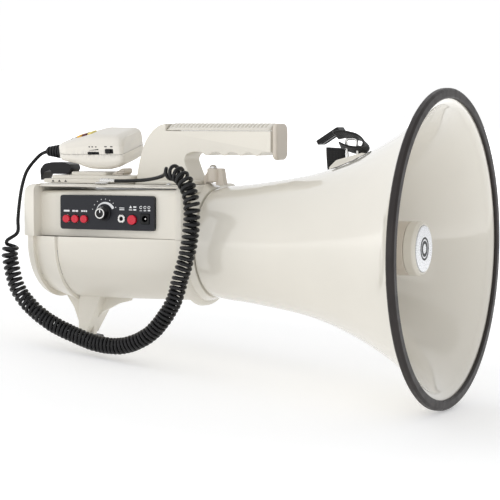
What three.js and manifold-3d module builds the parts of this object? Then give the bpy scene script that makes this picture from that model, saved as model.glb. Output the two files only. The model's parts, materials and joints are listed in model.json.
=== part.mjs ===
// Handheld megaphone with a wide reflex horn, a round-bottomed amplifier housing, a top handle, a fist
// microphone on a curly cord, a shoulder strap and a rechargeable pack.
// Every piece is drawn with the horn's axis on X: X = 0 is the mouth of the bell, +X points out of it,
// +Y is the side away from the control panel and +Z is up. The finished group is then pitched so that the
// rim and the foot stand on the plane Z = 0. Millimetres throughout.
import * as THREE from "three";
import { mergeVertices } from "three/addons/utils/BufferGeometryUtils.js";
import Module from "manifold-3d";

const wasm = await Module();
wasm.setup();

// Driving dimensions
const GAP = 0.3; // between neighbouring pieces
const WALL = 3; // housing wall
const ROUND = 40; // sides of a large turned piece
const SMALL_ROUND = 12; // sides of a small one

const RIM_R = 142.5; // outer radius of the rubber rim
const RIM_BACK = -5; // where that radius starts
const BELL_END_X = -226.3; // shoulder where the bell meets the collar
const NECK_R = 45.5; // spigot of the bell inside the collar
const TUBE_R = 24.3; // outer radius of the reflector tube and its cap

const BODY_R = 56; // round lower half of the housing
const BODY_REAR = -404;
const BODY_FRONT = -236;
const BODY_TOP = 51;
const SEAM_Z = 5.1; // between the upper and lower halves
const COVER_X = -367; // front edge of the battery cover
const PLATE_TOP = 54.3; // top of the plate on the housing

const PANEL = { x0: -362.6, x1: -263.7, z0: 12.5, z1: 44.3, corner: 3 };
const PANEL_Y = -57; // outer face of the control panel

const GRIP_Z = 84.5; // underside of the grip
const GRIP_TOP = 104; // seam under the ribbed cover
const GRIP_END = -165.6; // where its end cap begins
const GRIP_HALF = 16; // half the grip's width

const MIC = { x: -356, z: 88.7, roll: THREE.MathUtils.degToRad(12) };

const CORD_R = 1.75;
const COIL_R = 8.2; // outside of the curly cord's turns

const STRAP_W = 19;
const STRAP_T = 2;

const FOOT_X = -366; // middle of the foot's pad
const FOOT_Z = -96.5; // its underside
// Nose-up angle of the horn's axis when the rim and the foot stand on a plane.
const PITCH = Math.atan2(RIM_R + FOOT_Z, RIM_BACK - FOOT_X);

// Finishes
const finish = (color, roughness, metalness = 0) => ({ color, roughness, metalness });
const CREAM = finish(0xeae6da, 0.35);
const TAN = finish(0xcfc5b2, 0.4);
const BLACK = finish(0x171717, 0.5);
const RUBBER = finish(0x2b2927, 0.6);
const PANEL_GREY = finish(0x45464b, 0.45);
const RED = finish(0xc8283c, 0.35);
const YELLOW = finish(0xe8b93c, 0.4);
const DARK_RED = finish(0x4a1420, 0.4);
const STEEL = finish(0xc8c8c8, 0.25, 1);
const BOARD = finish(0x1f5a38, 0.6);
const CELL = finish(0x2c5f9e, 0.4);
const SILVER = finish(0xdfe1e4, 0.3, 0.4);
const WEBBING = finish(0x121214, 0.9);

// Solids
function solid(geometry) {
  const bare = geometry.index ? geometry.toNonIndexed() : geometry.clone();
  bare.deleteAttribute("normal");
  bare.deleteAttribute("uv");
  const merged = mergeVertices(bare, 1e-4);
  const triangles = new Uint32Array(merged.index.array);
  const make = () =>
    new wasm.Manifold(
      new wasm.Mesh({
        numProp: 3,
        vertProperties: merged.attributes.position.array,
        triVerts: triangles,
      }),
    );
  const made = make();
  if (made.volume() > 0) return made;
  for (let i = 0; i < triangles.length; i += 3) {
    [triangles[i + 1], triangles[i + 2]] = [triangles[i + 2], triangles[i + 1]];
  }
  return make();
}

function geometryOf(manifold) {
  const mesh = manifold.getMesh();
  const points = new Float32Array(mesh.numVert * 3);
  for (let i = 0; i < mesh.numVert; i++) {
    const start = i * mesh.numProp;
    points.set(mesh.vertProperties.subarray(start, start + 3), i * 3);
  }
  return new THREE.BufferGeometry()
    .setAttribute("position", new THREE.BufferAttribute(points, 3))
    .setIndex(new THREE.BufferAttribute(new Uint32Array(mesh.triVerts), 1));
}

const join = (...solids) => solids.reduce((all, one) => all.add(one));
const cut = (base, ...tools) => tools.reduce((left, tool) => left.subtract(tool), base);

function block(x0, x1, y0, y1, z0, z1) {
  return solid(
    new THREE.BoxGeometry(x1 - x0, y1 - y0, z1 - z0).translate(
      (x0 + x1) / 2,
      (y0 + y1) / 2,
      (z0 + z1) / 2,
    ),
  );
}

// A piece turned round the X axis; the profile's points are [x, radius].
function turned(profile, sides = ROUND) {
  const points = profile.map(([x, r]) => new THREE.Vector2(r, x));
  return solid(new THREE.LatheGeometry(points, sides).rotateZ(-Math.PI / 2));
}

// A turned ring whose profile closes on itself.
const turnedRing = (profile, sides = ROUND) => turned([...profile, profile[0]], sides);

// A straight round bar between two points.
function bar(radius, from, to, sides = SMALL_ROUND, endRadius = radius) {
  const a = new THREE.Vector3(...from);
  const b = new THREE.Vector3(...to);
  const along = b.clone().sub(a);
  const turn = new THREE.Quaternion().setFromUnitVectors(
    new THREE.Vector3(0, 1, 0),
    along.clone().normalize(),
  );
  const middle = a.clone().add(b).multiplyScalar(0.5);
  return solid(
    new THREE.CylinderGeometry(endRadius, radius, along.length(), sides)
      .applyQuaternion(turn)
      .translate(middle.x, middle.y, middle.z),
  );
}

const outline = (points) => new THREE.Shape(points.map(([u, v]) => new THREE.Vector2(u, v)));

function roundedRectangle(u0, u1, v0, v1, radius) {
  const shape = new THREE.Shape();
  shape.moveTo(u0 + radius, v0);
  shape.lineTo(u1 - radius, v0);
  shape.absarc(u1 - radius, v0 + radius, radius, -Math.PI / 2, 0);
  shape.lineTo(u1, v1 - radius);
  shape.absarc(u1 - radius, v1 - radius, radius, 0, Math.PI / 2);
  shape.lineTo(u0 + radius, v1);
  shape.absarc(u0 + radius, v1 - radius, radius, Math.PI / 2, Math.PI);
  shape.lineTo(u0, v0 + radius);
  shape.absarc(u0 + radius, v0 + radius, radius, Math.PI, Math.PI * 1.5);
  return shape;
}

// An outline in one plane, extruded along the third axis from a to b.
function extruded(shape, axis, a, b, curveSegments = 6) {
  const g = new THREE.ExtrudeGeometry(shape, { depth: b - a, bevelEnabled: false, curveSegments });
  if (axis === "x") {
    g.applyMatrix4(
      new THREE.Matrix4().makeBasis(
        new THREE.Vector3(0, 1, 0),
        new THREE.Vector3(0, 0, 1),
        new THREE.Vector3(1, 0, 0),
      ),
    );
    return solid(g.translate(a, 0, 0));
  }
  if (axis === "y") return solid(g.rotateX(Math.PI / 2).translate(0, b, 0));
  return solid(g.translate(0, 0, a));
}

// A section swept along a smooth curve through the given points.
function swept(section, points, steps) {
  const path = new THREE.CatmullRomCurve3(
    points.map((p) => new THREE.Vector3(...p)),
    false,
    "centripetal",
  );
  return solid(new THREE.ExtrudeGeometry(section, { steps, extrudePath: path, curveSegments: 2 }));
}

function circleSection(radius, sides) {
  const points = [];
  for (let i = 0; i < sides; i++) {
    const angle = (i / sides) * 2 * Math.PI;
    points.push([radius * Math.cos(angle), radius * Math.sin(angle)]);
  }
  return outline(points);
}

// Assembly
const megaphone = new THREE.Group();
const CORDS = [];

function part(name, shape, look, parent = megaphone) {
  const mesh = new THREE.Mesh(geometryOf(shape), new THREE.MeshStandardMaterial(look));
  mesh.name = name;
  parent.add(mesh);
  return mesh;
}

// Horn -----------------------------------------------------------------------------------------------

const BELL_STEPS = 10; // stretches of the bell's curve

function bellCurve() {
  // Outer wall from the neck shoulder to the mouth.
  const points = [
    [BELL_END_X, 50.3],
    [-215, 52.6],
    [-180, 56.6],
    [-120, 67.6],
    [-70, 87.2],
    [-20, 117.1],
    [-3.6, 131.5],
  ];
  return new THREE.SplineCurve(points.map(([x, r]) => new THREE.Vector2(x, r)));
}

function hornBell() {
  const wall = 2.3;
  const outer = bellCurve()
    .getPoints(BELL_STEPS)
    .map((p) => [p.x, p.y]);
  const inner = outer
    .slice(2)
    .reverse()
    .map(([x, r]) => [x, r - wall - 0.4]);
  return turnedRing([
    [-233, NECK_R],
    [BELL_END_X, NECK_R],
    ...outer,
    [-3.6, 139],
    [-1.2, 139],
    [-1.2, 130],
    ...inner,
    [-226, NECK_R - wall],
    [-233, NECK_R - wall],
  ]);
}

function rimTrim() {
  // A channel section pressed over the bell's lip.
  return turnedRing([
    [-6.6, 134.6],
    [-6.6, 141],
    [RIM_BACK, RIM_R],
    [0.8, RIM_R],
    [2.4, 141],
    [2.4, 134],
    [1.2, 132.8],
    [-0.9, 132.8],
    [-0.9, 139.3],
    [-3.9, 139.3],
    [-3.9, 134.6],
  ]);
}

function reflectorTube() {
  const tube = turnedRing(
    [
      [-176, 22.3],
      [-178, 23.3],
      [-176, TUBE_R],
      [-34.3, TUBE_R],
      [-34.3, 22.3],
    ],
    24,
  );
  const ribs = [0, 1, 2].map((i) => {
    const angle = (i / 3) * 2 * Math.PI + Math.PI / 2;
    const rib = block(-172, -150, -1, 1, 14.8, 23).rotate([THREE.MathUtils.radToDeg(angle), 0, 0]);
    return rib;
  });
  return join(tube, ...ribs);
}

function throatTube() {
  // Flanged against the driver and flaring to an open mouth inside the reflector tube.
  return turnedRing(
    [
      [-236.8, 41.5],
      [-233.8, 41.5],
      [-233.8, 14],
      [-226, 11.5],
      [-120, 12.5],
      [-60, 14.3],
      [-60, 12.8],
      [-120, 10.8],
      [-226, 9.5],
      [-236.8, 9.5],
    ],
    24,
  );
}

const centreCap = () =>
  turned(
    [
      [-38, 0],
      [-38, 21.8],
      [-34, 21.8],
      [-34, TUBE_R],
      [-26, TUBE_R],
      [-24, 23.6],
      [-23.2, 22.2],
      [-23.2, 21.2],
      [-24.6, 21.2],
      [-24.6, 0],
    ],
    24,
  );

const badgeDisc = () =>
  turned(
    [
      [-24.3, 0],
      [-24.3, 20.8],
      [-23.2, 20.8],
      [-22.2, 20],
      [-22.2, 0],
    ],
    24,
  );

const driverHousing = () =>
  turned(
    [
      [-262, 0],
      [-262, 33],
      [-260, 34],
      [-244, 34],
      [-244, 42.5],
      [-240.3, 42.5],
      [-240.3, 0],
    ],
    24,
  );

const driverDiaphragm = () =>
  turned(
    [
      [-239.6, 0],
      [-239.6, 30],
      [-239, 30],
      [-238.4, 22],
      [-237.4, 12],
      [-237.1, 0],
    ],
    24,
  );

function buildHorn() {
  part("horn_bell", hornBell(), CREAM);
  part("rim_trim", rimTrim(), RUBBER);
  part("reflector_tube", reflectorTube(), TAN);
  part("throat_tube", throatTube(), TAN);
  part("centre_cap", centreCap(), TAN);
  part("centre_disc", badgeDisc(), SILVER);
  part("driver_housing", driverHousing(), STEEL);
  part("driver_diaphragm", driverDiaphragm(), STEEL);
}

// Housing --------------------------------------------------------------------------------------------

function upperOutline(inset) {
  const half = BODY_R - inset;
  const top = BODY_TOP - inset;
  const corner = 6 - inset;
  const base = SEAM_Z + GAP / 2 - (inset ? 5 : 0);
  const shape = new THREE.Shape();
  shape.moveTo(-half, base);
  shape.lineTo(half, base);
  shape.lineTo(half, top - corner);
  shape.absarc(half - corner, top - corner, corner, 0, Math.PI / 2);
  shape.lineTo(-half + corner, top);
  shape.absarc(-half + corner, top - corner, corner, Math.PI / 2, Math.PI);
  return shape;
}

function lowerOutline(inset) {
  const radius = BODY_R - inset;
  const top = SEAM_Z - GAP / 2 + (inset ? 5 : 0);
  const shape = new THREE.Shape();
  shape.moveTo(radius, top);
  shape.lineTo(-radius, top);
  shape.lineTo(-radius, 0);
  shape.absarc(0, 0, radius, Math.PI, 2 * Math.PI);
  return shape;
}

const NECK_HOLE_R = 46;
const neckHole = () => bar(NECK_HOLE_R, [-241, 0, 0], [-230, 0, 0], 40);

function panelOpening() {
  const m = GAP;
  return block(PANEL.x0 - m, PANEL.x1 + m, PANEL_Y - 2, -50, PANEL.z0 - m, PANEL.z1 + m);
}

function upperShell() {
  return cut(
    extruded(upperOutline(0), "x", BODY_REAR, BODY_FRONT),
    extruded(upperOutline(WALL), "x", BODY_REAR + WALL, BODY_FRONT - WALL),
    neckHole(),
    panelOpening(),
  );
}

function lowerShell() {
  return cut(
    extruded(lowerOutline(0), "x", COVER_X + GAP, BODY_FRONT, 20),
    extruded(lowerOutline(WALL), "x", COVER_X - 5, BODY_FRONT - WALL, 20),
    neckHole(),
  );
}

function batteryCover() {
  return cut(
    extruded(lowerOutline(0), "x", BODY_REAR, COVER_X, 20),
    extruded(lowerOutline(WALL), "x", BODY_REAR + WALL, COVER_X + 5, 20),
  );
}

const frontCollar = () =>
  turnedRing([
    [BODY_FRONT + GAP, NECK_HOLE_R],
    [BODY_FRONT + GAP, 55.4],
    [-234.6, 55.4],
    [-227, 51.9],
    [-227, NECK_HOLE_R],
  ]);

function topPlate() {
  const z0 = BODY_TOP + GAP;
  return extruded(roundedRectangle(-400, -239, -49.5, 49.5, 4), "z", z0, PLATE_TOP);
}

function footStand() {
  // A cruciform keel: a flared web along X and a tapering rib across it, ending in a small sole.
  const web = outline([
    [-388, -50],
    [-318, -50],
    [-319, -59],
    [-331, -61],
    [-347, -69],
    [-357, -79],
    [-358, -90.5],
    [-374, -90.5],
    [-375, -79],
    [-380, -66],
  ]);
  const rib = outline([
    [-16, -50],
    [16, -50],
    [12, -90.5],
    [-12, -90.5],
  ]);
  const ribSide = outline([
    [-366.5, -50],
    [-343.5, -50],
    [-361.5, -90.5],
    [-370, -90.5],
  ]);
  const crossRib = extruded(rib, "x", -376, -343).intersect(extruded(ribSide, "y", -17, 17));
  const body = new THREE.Shape();
  body.absarc(0, 0, BODY_R + GAP, 0, 2 * Math.PI);
  return cut(join(extruded(web, "y", -3, 3), crossRib), extruded(body, "x", -420, -300, 20));
}

const PAD_T = 4;

const footPad = () =>
  solid(
    new THREE.BoxGeometry(19, 30, PAD_T)
      .rotateY(PITCH)
      .translate(
        FOOT_X + (PAD_T / 2) * Math.sin(PITCH),
        0,
        FOOT_Z + (PAD_T / 2) * Math.cos(PITCH),
      ),
  );

function frontBlock() {
  // A rib between the collar and the handle's front, with a round boss for its screw.
  const shape = outline([
    [-239.5, PLATE_TOP + GAP],
    [-239.5, 61],
    [-233, 69.3],
    [-221, 69.3],
    [-218.4, 54.6],
    [-218.4, 53.4],
    [-226.7, 53.4],
    [-226.7, PLATE_TOP + GAP],
  ]);
  const boss = bar(5.5, [-230, -3, 57], [-230, -3, 69.3], 16);
  return cut(
    join(extruded(shape, "y", -4, 4), boss),
    bar(55.9, [-237, 0, 0], [-226.2, 0, 0], ROUND),
  );
}

function panHead(x, y, z, radius, height) {
  return cut(
    join(
      bar(radius, [x, y, z], [x, y, z + height * 0.5], 12),
      bar(radius, [x, y, z + height * 0.5], [x, y, z + height], 12, radius * 0.6),
    ),
    block(x - radius, x + radius, y - 0.5, y + 0.5, z + height * 0.55, z + height + 1),
  );
}

function buildHousing() {
  part("upper_shell", upperShell(), CREAM);
  part("lower_shell", lowerShell(), CREAM);
  part("battery_cover", batteryCover(), CREAM);
  part("front_collar", frontCollar(), CREAM);
  part("top_plate", topPlate(), CREAM);
  part("foot_stand", footStand(), CREAM);
  part("foot_pad", footPad(), RUBBER);
  part("front_bracket", frontBlock(), CREAM);
  part("bracket_screw", panHead(-230, -3, 69.6, 3.6, 3.2), STEEL);
  part("plate_screw", panHead(-256, -41, PLATE_TOP + GAP, 3, 2), STEEL);
}

// Control panel --------------------------------------------------------------------------------------

const SMALL_BUTTONS = [
  ["voice_button", -355.4],
  ["music_button", -346.2],
  ["siren_button", -336.6],
];
const BUTTON_Z = 22.2;
const BUTTON_R = 3.6;
const KNOB = { x: -315.3, z: 28.1, r: 7 };
const JACK = { x: -297.1, z: 23.3 };
const POWER = { x: -286, z: 22.5, r: 4.4 };
const SOCKET = { x: -273, z: 23.5 };

const across = (r, x, z, y0, y1, sides = SMALL_ROUND) => bar(r, [x, y0, z], [x, y1, z], sides);

function controlPanel() {
  const plate = extruded(
    roundedRectangle(PANEL.x0, PANEL.x1, PANEL.z0, PANEL.z1, PANEL.corner),
    "y",
    PANEL_Y,
    -53.5,
    4,
  );
  const holes = SMALL_BUTTONS.map(([, x]) => across(BUTTON_R + GAP, x, BUTTON_Z, -60, -50));
  holes.push(across(POWER.r + GAP, POWER.x, POWER.z, -60, -50));
  holes.push(across(3.4, KNOB.x, KNOB.z, -60, -50));
  holes.push(across(3.1, JACK.x, JACK.z, -60, -50));
  holes.push(block(SOCKET.x - 4.8, SOCKET.x + 4.8, -60, -50, SOCKET.z - 4.8, SOCKET.z + 4.8));
  return cut(plate, ...holes);
}

const pushButton = (x, z, r) => across(r, x, z, -59.6, -52, SMALL_ROUND);

function volumeKnob() {
  // The knob with the potentiometer's spindle pressed into it.
  const { x, z, r } = KNOB;
  const skirt = bar(r, [x, -58, z], [x, -60, z], 20, r - 0.4);
  const body = bar(r - 1.2, [x, -59.8, z], [x, -66.6, z], 20, r - 1.8);
  return join(skirt, body, across(2, x, z, -59.6, -51, 12));
}

const volumePot = () =>
  cut(
    join(
      across(8, KNOB.x, KNOB.z, -52, -44, 20),
      across(3.1, KNOB.x, KNOB.z, -56.4, -51.5, 16),
    ),
    across(2.3, KNOB.x, KNOB.z, -58, -50.5, 12),
  );

const auxJack = () =>
  cut(
    join(
      across(4, JACK.x, JACK.z, -58.6, PANEL_Y - GAP, 6),
      across(2.8, JACK.x, JACK.z, -57.6, -52, 16),
      block(JACK.x - 4, JACK.x + 4, -53, -41, JACK.z - 4, JACK.z + 4),
    ),
    across(1.8, JACK.x, JACK.z, -60, -45, 12),
  );

const dcSocket = () =>
  join(
    cut(
      block(SOCKET.x - 4.5, SOCKET.x + 4.5, -57.8, -44, SOCKET.z - 4.5, SOCKET.z + 4.5),
      across(2.9, SOCKET.x, SOCKET.z, -60, -47, 16),
    ),
    across(1, SOCKET.x, SOCKET.z, -56, -46, 8),
  );

function amplifierBoard() {
  // Upright board behind the panel with its tall parts: transformer, capacitors and a finned heat sink.
  const board = block(-360, -262, -36, -34.4, 8, 46);
  const transformer = block(-355, -329, -34.8, -12, 12, 36);
  const capacitors = [-318, -305].map((x) => across(5.5, x, 36, -34.8, -16, 12));
  const sink = block(-296, -266, -34.8, -30, 14, 42);
  const fins = [0, 1, 2, 3].map((i) => block(-296, -266, -30.4, -18, 14 + i * 8, 16 + i * 8));
  return join(board, transformer, ...capacitors, sink, ...fins);
}

function buildPanel() {
  part("control_panel", controlPanel(), PANEL_GREY);
  for (const [name, x] of SMALL_BUTTONS) {
    part(name, pushButton(x, BUTTON_Z, BUTTON_R), RED);
  }
  part("power_button", pushButton(POWER.x, POWER.z, POWER.r), RED);
  part("volume_knob", volumeKnob(), BLACK);
  part("volume_potentiometer", volumePot(), STEEL);
  part("aux_jack", auxJack(), STEEL);
  part("dc_socket", dcSocket(), BLACK);
  part("amplifier_board", amplifierBoard(), BOARD);
}

// Rechargeable pack ----------------------------------------------------------------------------------

const CELL_R = 9.2;
const CELL_LENGTH = 65;
const CELL_Z = -20;
const CELL_YS = [-28.8, -9.6, 9.6, 28.8];

function batteryTray() {
  const x0 = -399;
  const x1 = x0 + CELL_LENGTH + 5;
  return cut(
    block(x0, x1, -40.5, 40.5, CELL_Z - 12, CELL_Z + 4),
    block(x0 + 2, x1 - 2, -38.5, 38.5, CELL_Z - 10, CELL_Z + 6),
  );
}

function buildPack() {
  part("battery_tray", batteryTray(), BLACK);
  CELL_YS.forEach((y, i) => {
    const x0 = -396.5;
    const cell = join(
      bar(CELL_R, [x0, y, CELL_Z], [x0 + CELL_LENGTH - 1, y, CELL_Z], 16),
      bar(3, [x0 + CELL_LENGTH - 1.2, y, CELL_Z], [x0 + CELL_LENGTH, y, CELL_Z], 12),
    );
    part(`battery_cell_${i + 1}`, cell, CELL);
  });
}

// Handle ---------------------------------------------------------------------------------------------

const FINGER_XS = [-230, -213, -196, -180];
const FINGER_R = 6;

function handleBody() {
  const side = outline([
    [-304, PLATE_TOP + GAP],
    [-302.5, 68],
    [-299, 82],
    [-294, 95],
    [-287, 104],
    [-279.5, 109.2],
    [-273, 110.8],
    [-273, GRIP_TOP],
    [GRIP_END, GRIP_TOP],
    [GRIP_END, GRIP_Z],
    [-243, GRIP_Z],
    [-250, 82.5],
    [-253.5, 78],
    [-251, 71],
    [-246, 58],
    [-246, PLATE_TOP + GAP],
  ]);
  const core = extruded(side, "y", -GRIP_HALF, GRIP_HALF);
  const flange = extruded(
    roundedRectangle(-303, -241, -24, 24, 6),
    "z",
    PLATE_TOP + GAP,
    PLATE_TOP + 4,
    3,
  );
  const bumps = FINGER_XS.map((x) => bar(FINGER_R, [x, -11, 87.5], [x, 11, 87.5], 16));
  return join(core, flange, ...bumps);
}

function handleCover() {
  // Crowned strip along the back of the grip.
  const shape = new THREE.Shape();
  const base = GRIP_TOP + GAP;
  const crown = 111.5;
  shape.moveTo(-15.6, base);
  shape.lineTo(15.6, base);
  shape.lineTo(15.6, base + 1);
  shape.quadraticCurveTo(9, crown, 0, crown);
  shape.quadraticCurveTo(-9, crown, -15.6, base + 1);
  return extruded(shape, "x", -272.6, GRIP_END, 6);
}

const handleEndCap = () =>
  extruded(roundedRectangle(-13.5, 13.5, 77.5, 111, 9), "x", GRIP_END + GAP, -160.8, 6);

function buildHandle() {
  part("handle", handleBody(), CREAM);
  part("handle_cover", handleCover(), CREAM);
  part("handle_end_cap", handleEndCap(), TAN);
}

// Microphone and its cradle --------------------------------------------------------------------------

const MIC_HALF = 24; // half its width
const MIC_REAR = -34.5; // its end at the cord

// Plan of the case: round at the cord's end and square at the other.
function micPlan(inset) {
  const half = MIC_HALF - inset;
  const front = 40 - inset;
  const shape = new THREE.Shape();
  shape.moveTo(-20, -half);
  shape.lineTo(front - 6, -half);
  shape.quadraticCurveTo(front, -half, front, -half + 6);
  shape.lineTo(front, half - 6);
  shape.quadraticCurveTo(front, half, front - 6, half);
  shape.lineTo(-20, half);
  shape.bezierCurveTo(-29, half, MIC_REAR + inset, 17, MIC_REAR + inset, 9);
  shape.lineTo(MIC_REAR + inset, -9);
  shape.bezierCurveTo(MIC_REAR + inset, -17, -29, -half, -20, -half);
  return shape;
}

// Side outlines of the two halves, from the seam outward.
const MIC_UPPER = [
  [MIC_REAR, 4.6],
  [-30, 6.4],
  [-24, 8.25],
  [2, 14.75],
  [8, 15.9],
  [34, 15.5],
  [40, 12],
];
const MIC_LOWER = [
  [40, -12],
  [33, -16],
  [24, -18.3],
  [14, -18.6],
  [3, -18],
  [-4, -16],
  [-11, -12.8],
  [-22, -10.8],
  [MIC_REAR, -10],
];

function micHalf(side, seam, outward) {
  const make = (inset, end) => {
    const points = side.map(([x, z]) => [x, z - outward * inset]);
    const low = [points[points.length - 1][0], end];
    const high = [points[0][0], end];
    return extruded(outline([...points, low, high]), "y", -30, 30).intersect(
      extruded(micPlan(inset), "z", -40, 40, 5),
    );
  };
  return cut(make(0, seam), make(2, seam - outward * 4));
}

const MIC_KEYS = [
  ["mic_key_rear", -12, YELLOW],
  ["mic_key_middle", -6, DARK_RED],
  ["mic_key_front", 0, YELLOW],
];
const KEY = { x: 2.5, y: 5.5, middleY: -5 }; // half sizes, and how far they stand off the middle
const FACE_SLOPE = 0.25; // of the case under the keys
const FACE_Z = 14.25; // its height above the middle, were it to run on to x = 0

// A key's block square to the sloping face at x, from depth a to depth b above it.
function keyBlock(gap, x, a, b) {
  const { x: halfX, y: halfY, middleY } = KEY;
  return block(-halfX - gap, halfX + gap, -halfY - gap, halfY + gap, a, b)
    .rotate([0, -THREE.MathUtils.radToDeg(Math.atan(FACE_SLOPE)), 0])
    .translate([x, middleY, FACE_Z + x * FACE_SLOPE]);
}

const MIC_SEAM = -2.4; // between its halves
const SLIDER = { x0: 4.1, x1: 15.7, z0: MIC_SEAM, z1: 0 };
const SWITCH = { x0: 23.1, x1: 31.1, z0: -1.1, z1: 2.9 };
const TALK = { x0: -6, x1: 22 };

function strainRelief() {
  // Tapered sleeve with six moulded rings.
  const rings = 6;
  const start = MIC_REAR - 0.4;
  const profile = [[start, 0]];
  for (let i = 0; i < rings; i++) {
    const x = start - 3.4 * i;
    const r = 7.2 - 0.6 * i;
    profile.push([x, r], [x - 2, r], [x - 2, r - 1.2], [x - 3.4, r - 1.4]);
  }
  profile.push([start - 20.6, 3], [start - 20.6, 0]);
  return turned(profile.reverse(), 10).translate([0, 0, -5]);
}

function buildMicrophone() {
  const mic = new THREE.Group();
  mic.position.set(MIC.x, 0, MIC.z);
  mic.rotation.x = MIC.roll;
  megaphone.add(mic);

  const seam = MIC_SEAM;
  const near = -MIC_HALF;
  const slot = ({ x0, x1, z0, z1 }) =>
    block(x0 - GAP, x1 + GAP, near - 3, near + 4, z0 - GAP, z1 + GAP);
  const talkUpper = block(TALK.x0 - GAP, TALK.x1 + GAP, -near - 4, -near + 3, seam - 1, 5);
  const talkLower = block(TALK.x0 - GAP, TALK.x1 + GAP, -near - 4, -near + 3, -6, seam + 1);
  const keyHoles = MIC_KEYS.map(([, x]) => keyBlock(GAP, x, -7, 4));
  const upper = cut(
    micHalf(MIC_UPPER, seam + GAP / 2, 1),
    slot(SLIDER),
    slot(SWITCH),
    talkUpper,
    ...keyHoles,
  );
  const lower = cut(micHalf(MIC_LOWER, seam - GAP / 2, -1), talkLower);
  part("mic_upper_shell", upper, CREAM, mic);
  part("mic_lower_shell", lower, CREAM, mic);

  for (const [name, x, look] of MIC_KEYS) {
    part(name, keyBlock(0, x, -4.5, 1.6), look, mic);
  }
  // The sliding knobs start at the rear end of their slots.
  const thumb = ({ x0, z0, z1 }, length) =>
    block(x0, x0 + length, near - 1.2, near + 4, z0 + GAP, z1);
  part("mic_volume_slider", thumb(SLIDER, 5.5), BLACK, mic);
  part("mic_mode_switch", thumb(SWITCH, 5.5), BLACK, mic);
  const talk = extruded(
    roundedRectangle(TALK.x0, TALK.x1, -5.4, 4.4, 2),
    "y",
    -near - 4,
    -near + 2.6,
    3,
  );
  part("mic_talk_button", talk, BLACK, mic);

  part("mic_strain_relief", strainRelief(), BLACK, mic);

  const board = block(-14, 30, -17, 17, 3, 4.6);
  const capsule = bar(5, [14, 0, 4], [14, 0, 11.5], 12);
  part("mic_board", join(board, capsule), BOARD, mic);
}

function buildCradle() {
  const z0 = PLATE_TOP + GAP;
  const base = join(
    extruded(roundedRectangle(-398, -306, -30.8, 30.8, 5), "z", z0, 58.5, 3),
    extruded(roundedRectangle(-392, -306, -25, 25, 5), "z", z0, 61.8, 3),
    block(-374, -336, -18, 18, z0, 65),
  );
  part("cradle_base", base, CREAM);

  const hookSide = outline([
    [-400.5, 62.2],
    [-382, 62.2],
    [-378.5, 68],
    [-380.5, 71.6],
    [-388, 73.4],
    [-400, 73.6],
    [-409, 72],
    [-413.5, 66.5],
    [-412.5, 55],
    [-409.8, 61],
    [-408.5, 64],
    [-401.5, 66.5],
  ]);
  part("cradle_hook", extruded(hookSide, "y", -9, 9), BLACK);

  const clipSide = outline([
    [-332, 62.2],
    [-320.5, 62.2],
    [-318, 64.5],
    [-318.2, 68],
    [-320.2, 68.6],
    [-325, 66.2],
    [-330, 64],
  ]);
  part("cradle_clip", extruded(clipSide, "y", -14, 2), TAN);
}

// Cord -----------------------------------------------------------------------------------------------

const GLAND = { x: -325, y: -40, z: 57.3 };

// Plain lead from the microphone down to the first turn.
const MIC_LEAD = [
  [-412.8, 1, 83.4],
  [-416.5, -1.5, 81],
  [-420, -8, 75],
  [-421.5, -20, 65],
  [-419, -33, 51],
  [-413.5, -47, 35],
  [-409, -57, 20],
  [-406, -64, 8],
  [-401.5, -70, -0.5],
];

// Middle line of the curly stretch.
const COIL_LINE = [
  [-405.5, -75, -2.5],
  [-406.3, -76, -12],
  [-404.6, -76, -22],
  [-398.5, -76, -42],
  [-386, -76, -57.5],
  [-364, -76, -73],
  [-337, -76, -84],
  [-310.5, -76, -91.5],
  [-284, -76, -91.5],
  [-259, -76, -80.5],
  [-243.5, -76, -64.5],
  [-233, -76, -47.5],
  [-227.5, -76, -29.5],
  [-221.5, -76, -11],
  [-217.5, -76, 7],
  [-216, -75, 24.5],
  [-217.5, -73, 42],
  [-224, -69, 55.5],
  [-235, -63, 64.5],
  [-247, -56, 67],
];

// Plain lead from the last turn to the gland.
const BODY_LEAD = [
  [-252.5, -51, 66.5],
  [-258, -48, 63.8],
  [-266, -45, 61.2],
  [-276, -42.5, 59.4],
  [-288, -41, 58.2],
  [-299, -40.3, 57.6],
  [-313, -40, 57.3],
];

function cordGland() {
  const { x, y, z } = GLAND;
  const z0 = PLATE_TOP + GAP;
  return join(
    extruded(roundedRectangle(x - 9, x + 6, y - 5, y + 5, 4.5), "z", z0, z0 + 1.8, 3),
    bar(2.7, [x - 4, y, z], [x + 8, y, z], 12),
    bar(2.2, [x + 7.5, y, z], [x + 11.6, y, z], 12),
  );
}

function buildCord() {
  part("cord_gland", cordGland(), STEEL);
  CORDS.push(
    part("cord_mic_lead", swept(circleSection(CORD_R, 8), MIC_LEAD, 18), BLACK),
    part("cord_coil", swept(circleSection(COIL_R, 10), COIL_LINE, 36), BLACK),
    part("cord_body_lead", swept(circleSection(CORD_R, 8), BODY_LEAD, 10), BLACK),
  );
}

// Shoulder strap -------------------------------------------------------------------------------------

const STRAP_Y = 30; // plane of the front fittings
const RING_WIRE = 1.2;

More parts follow.
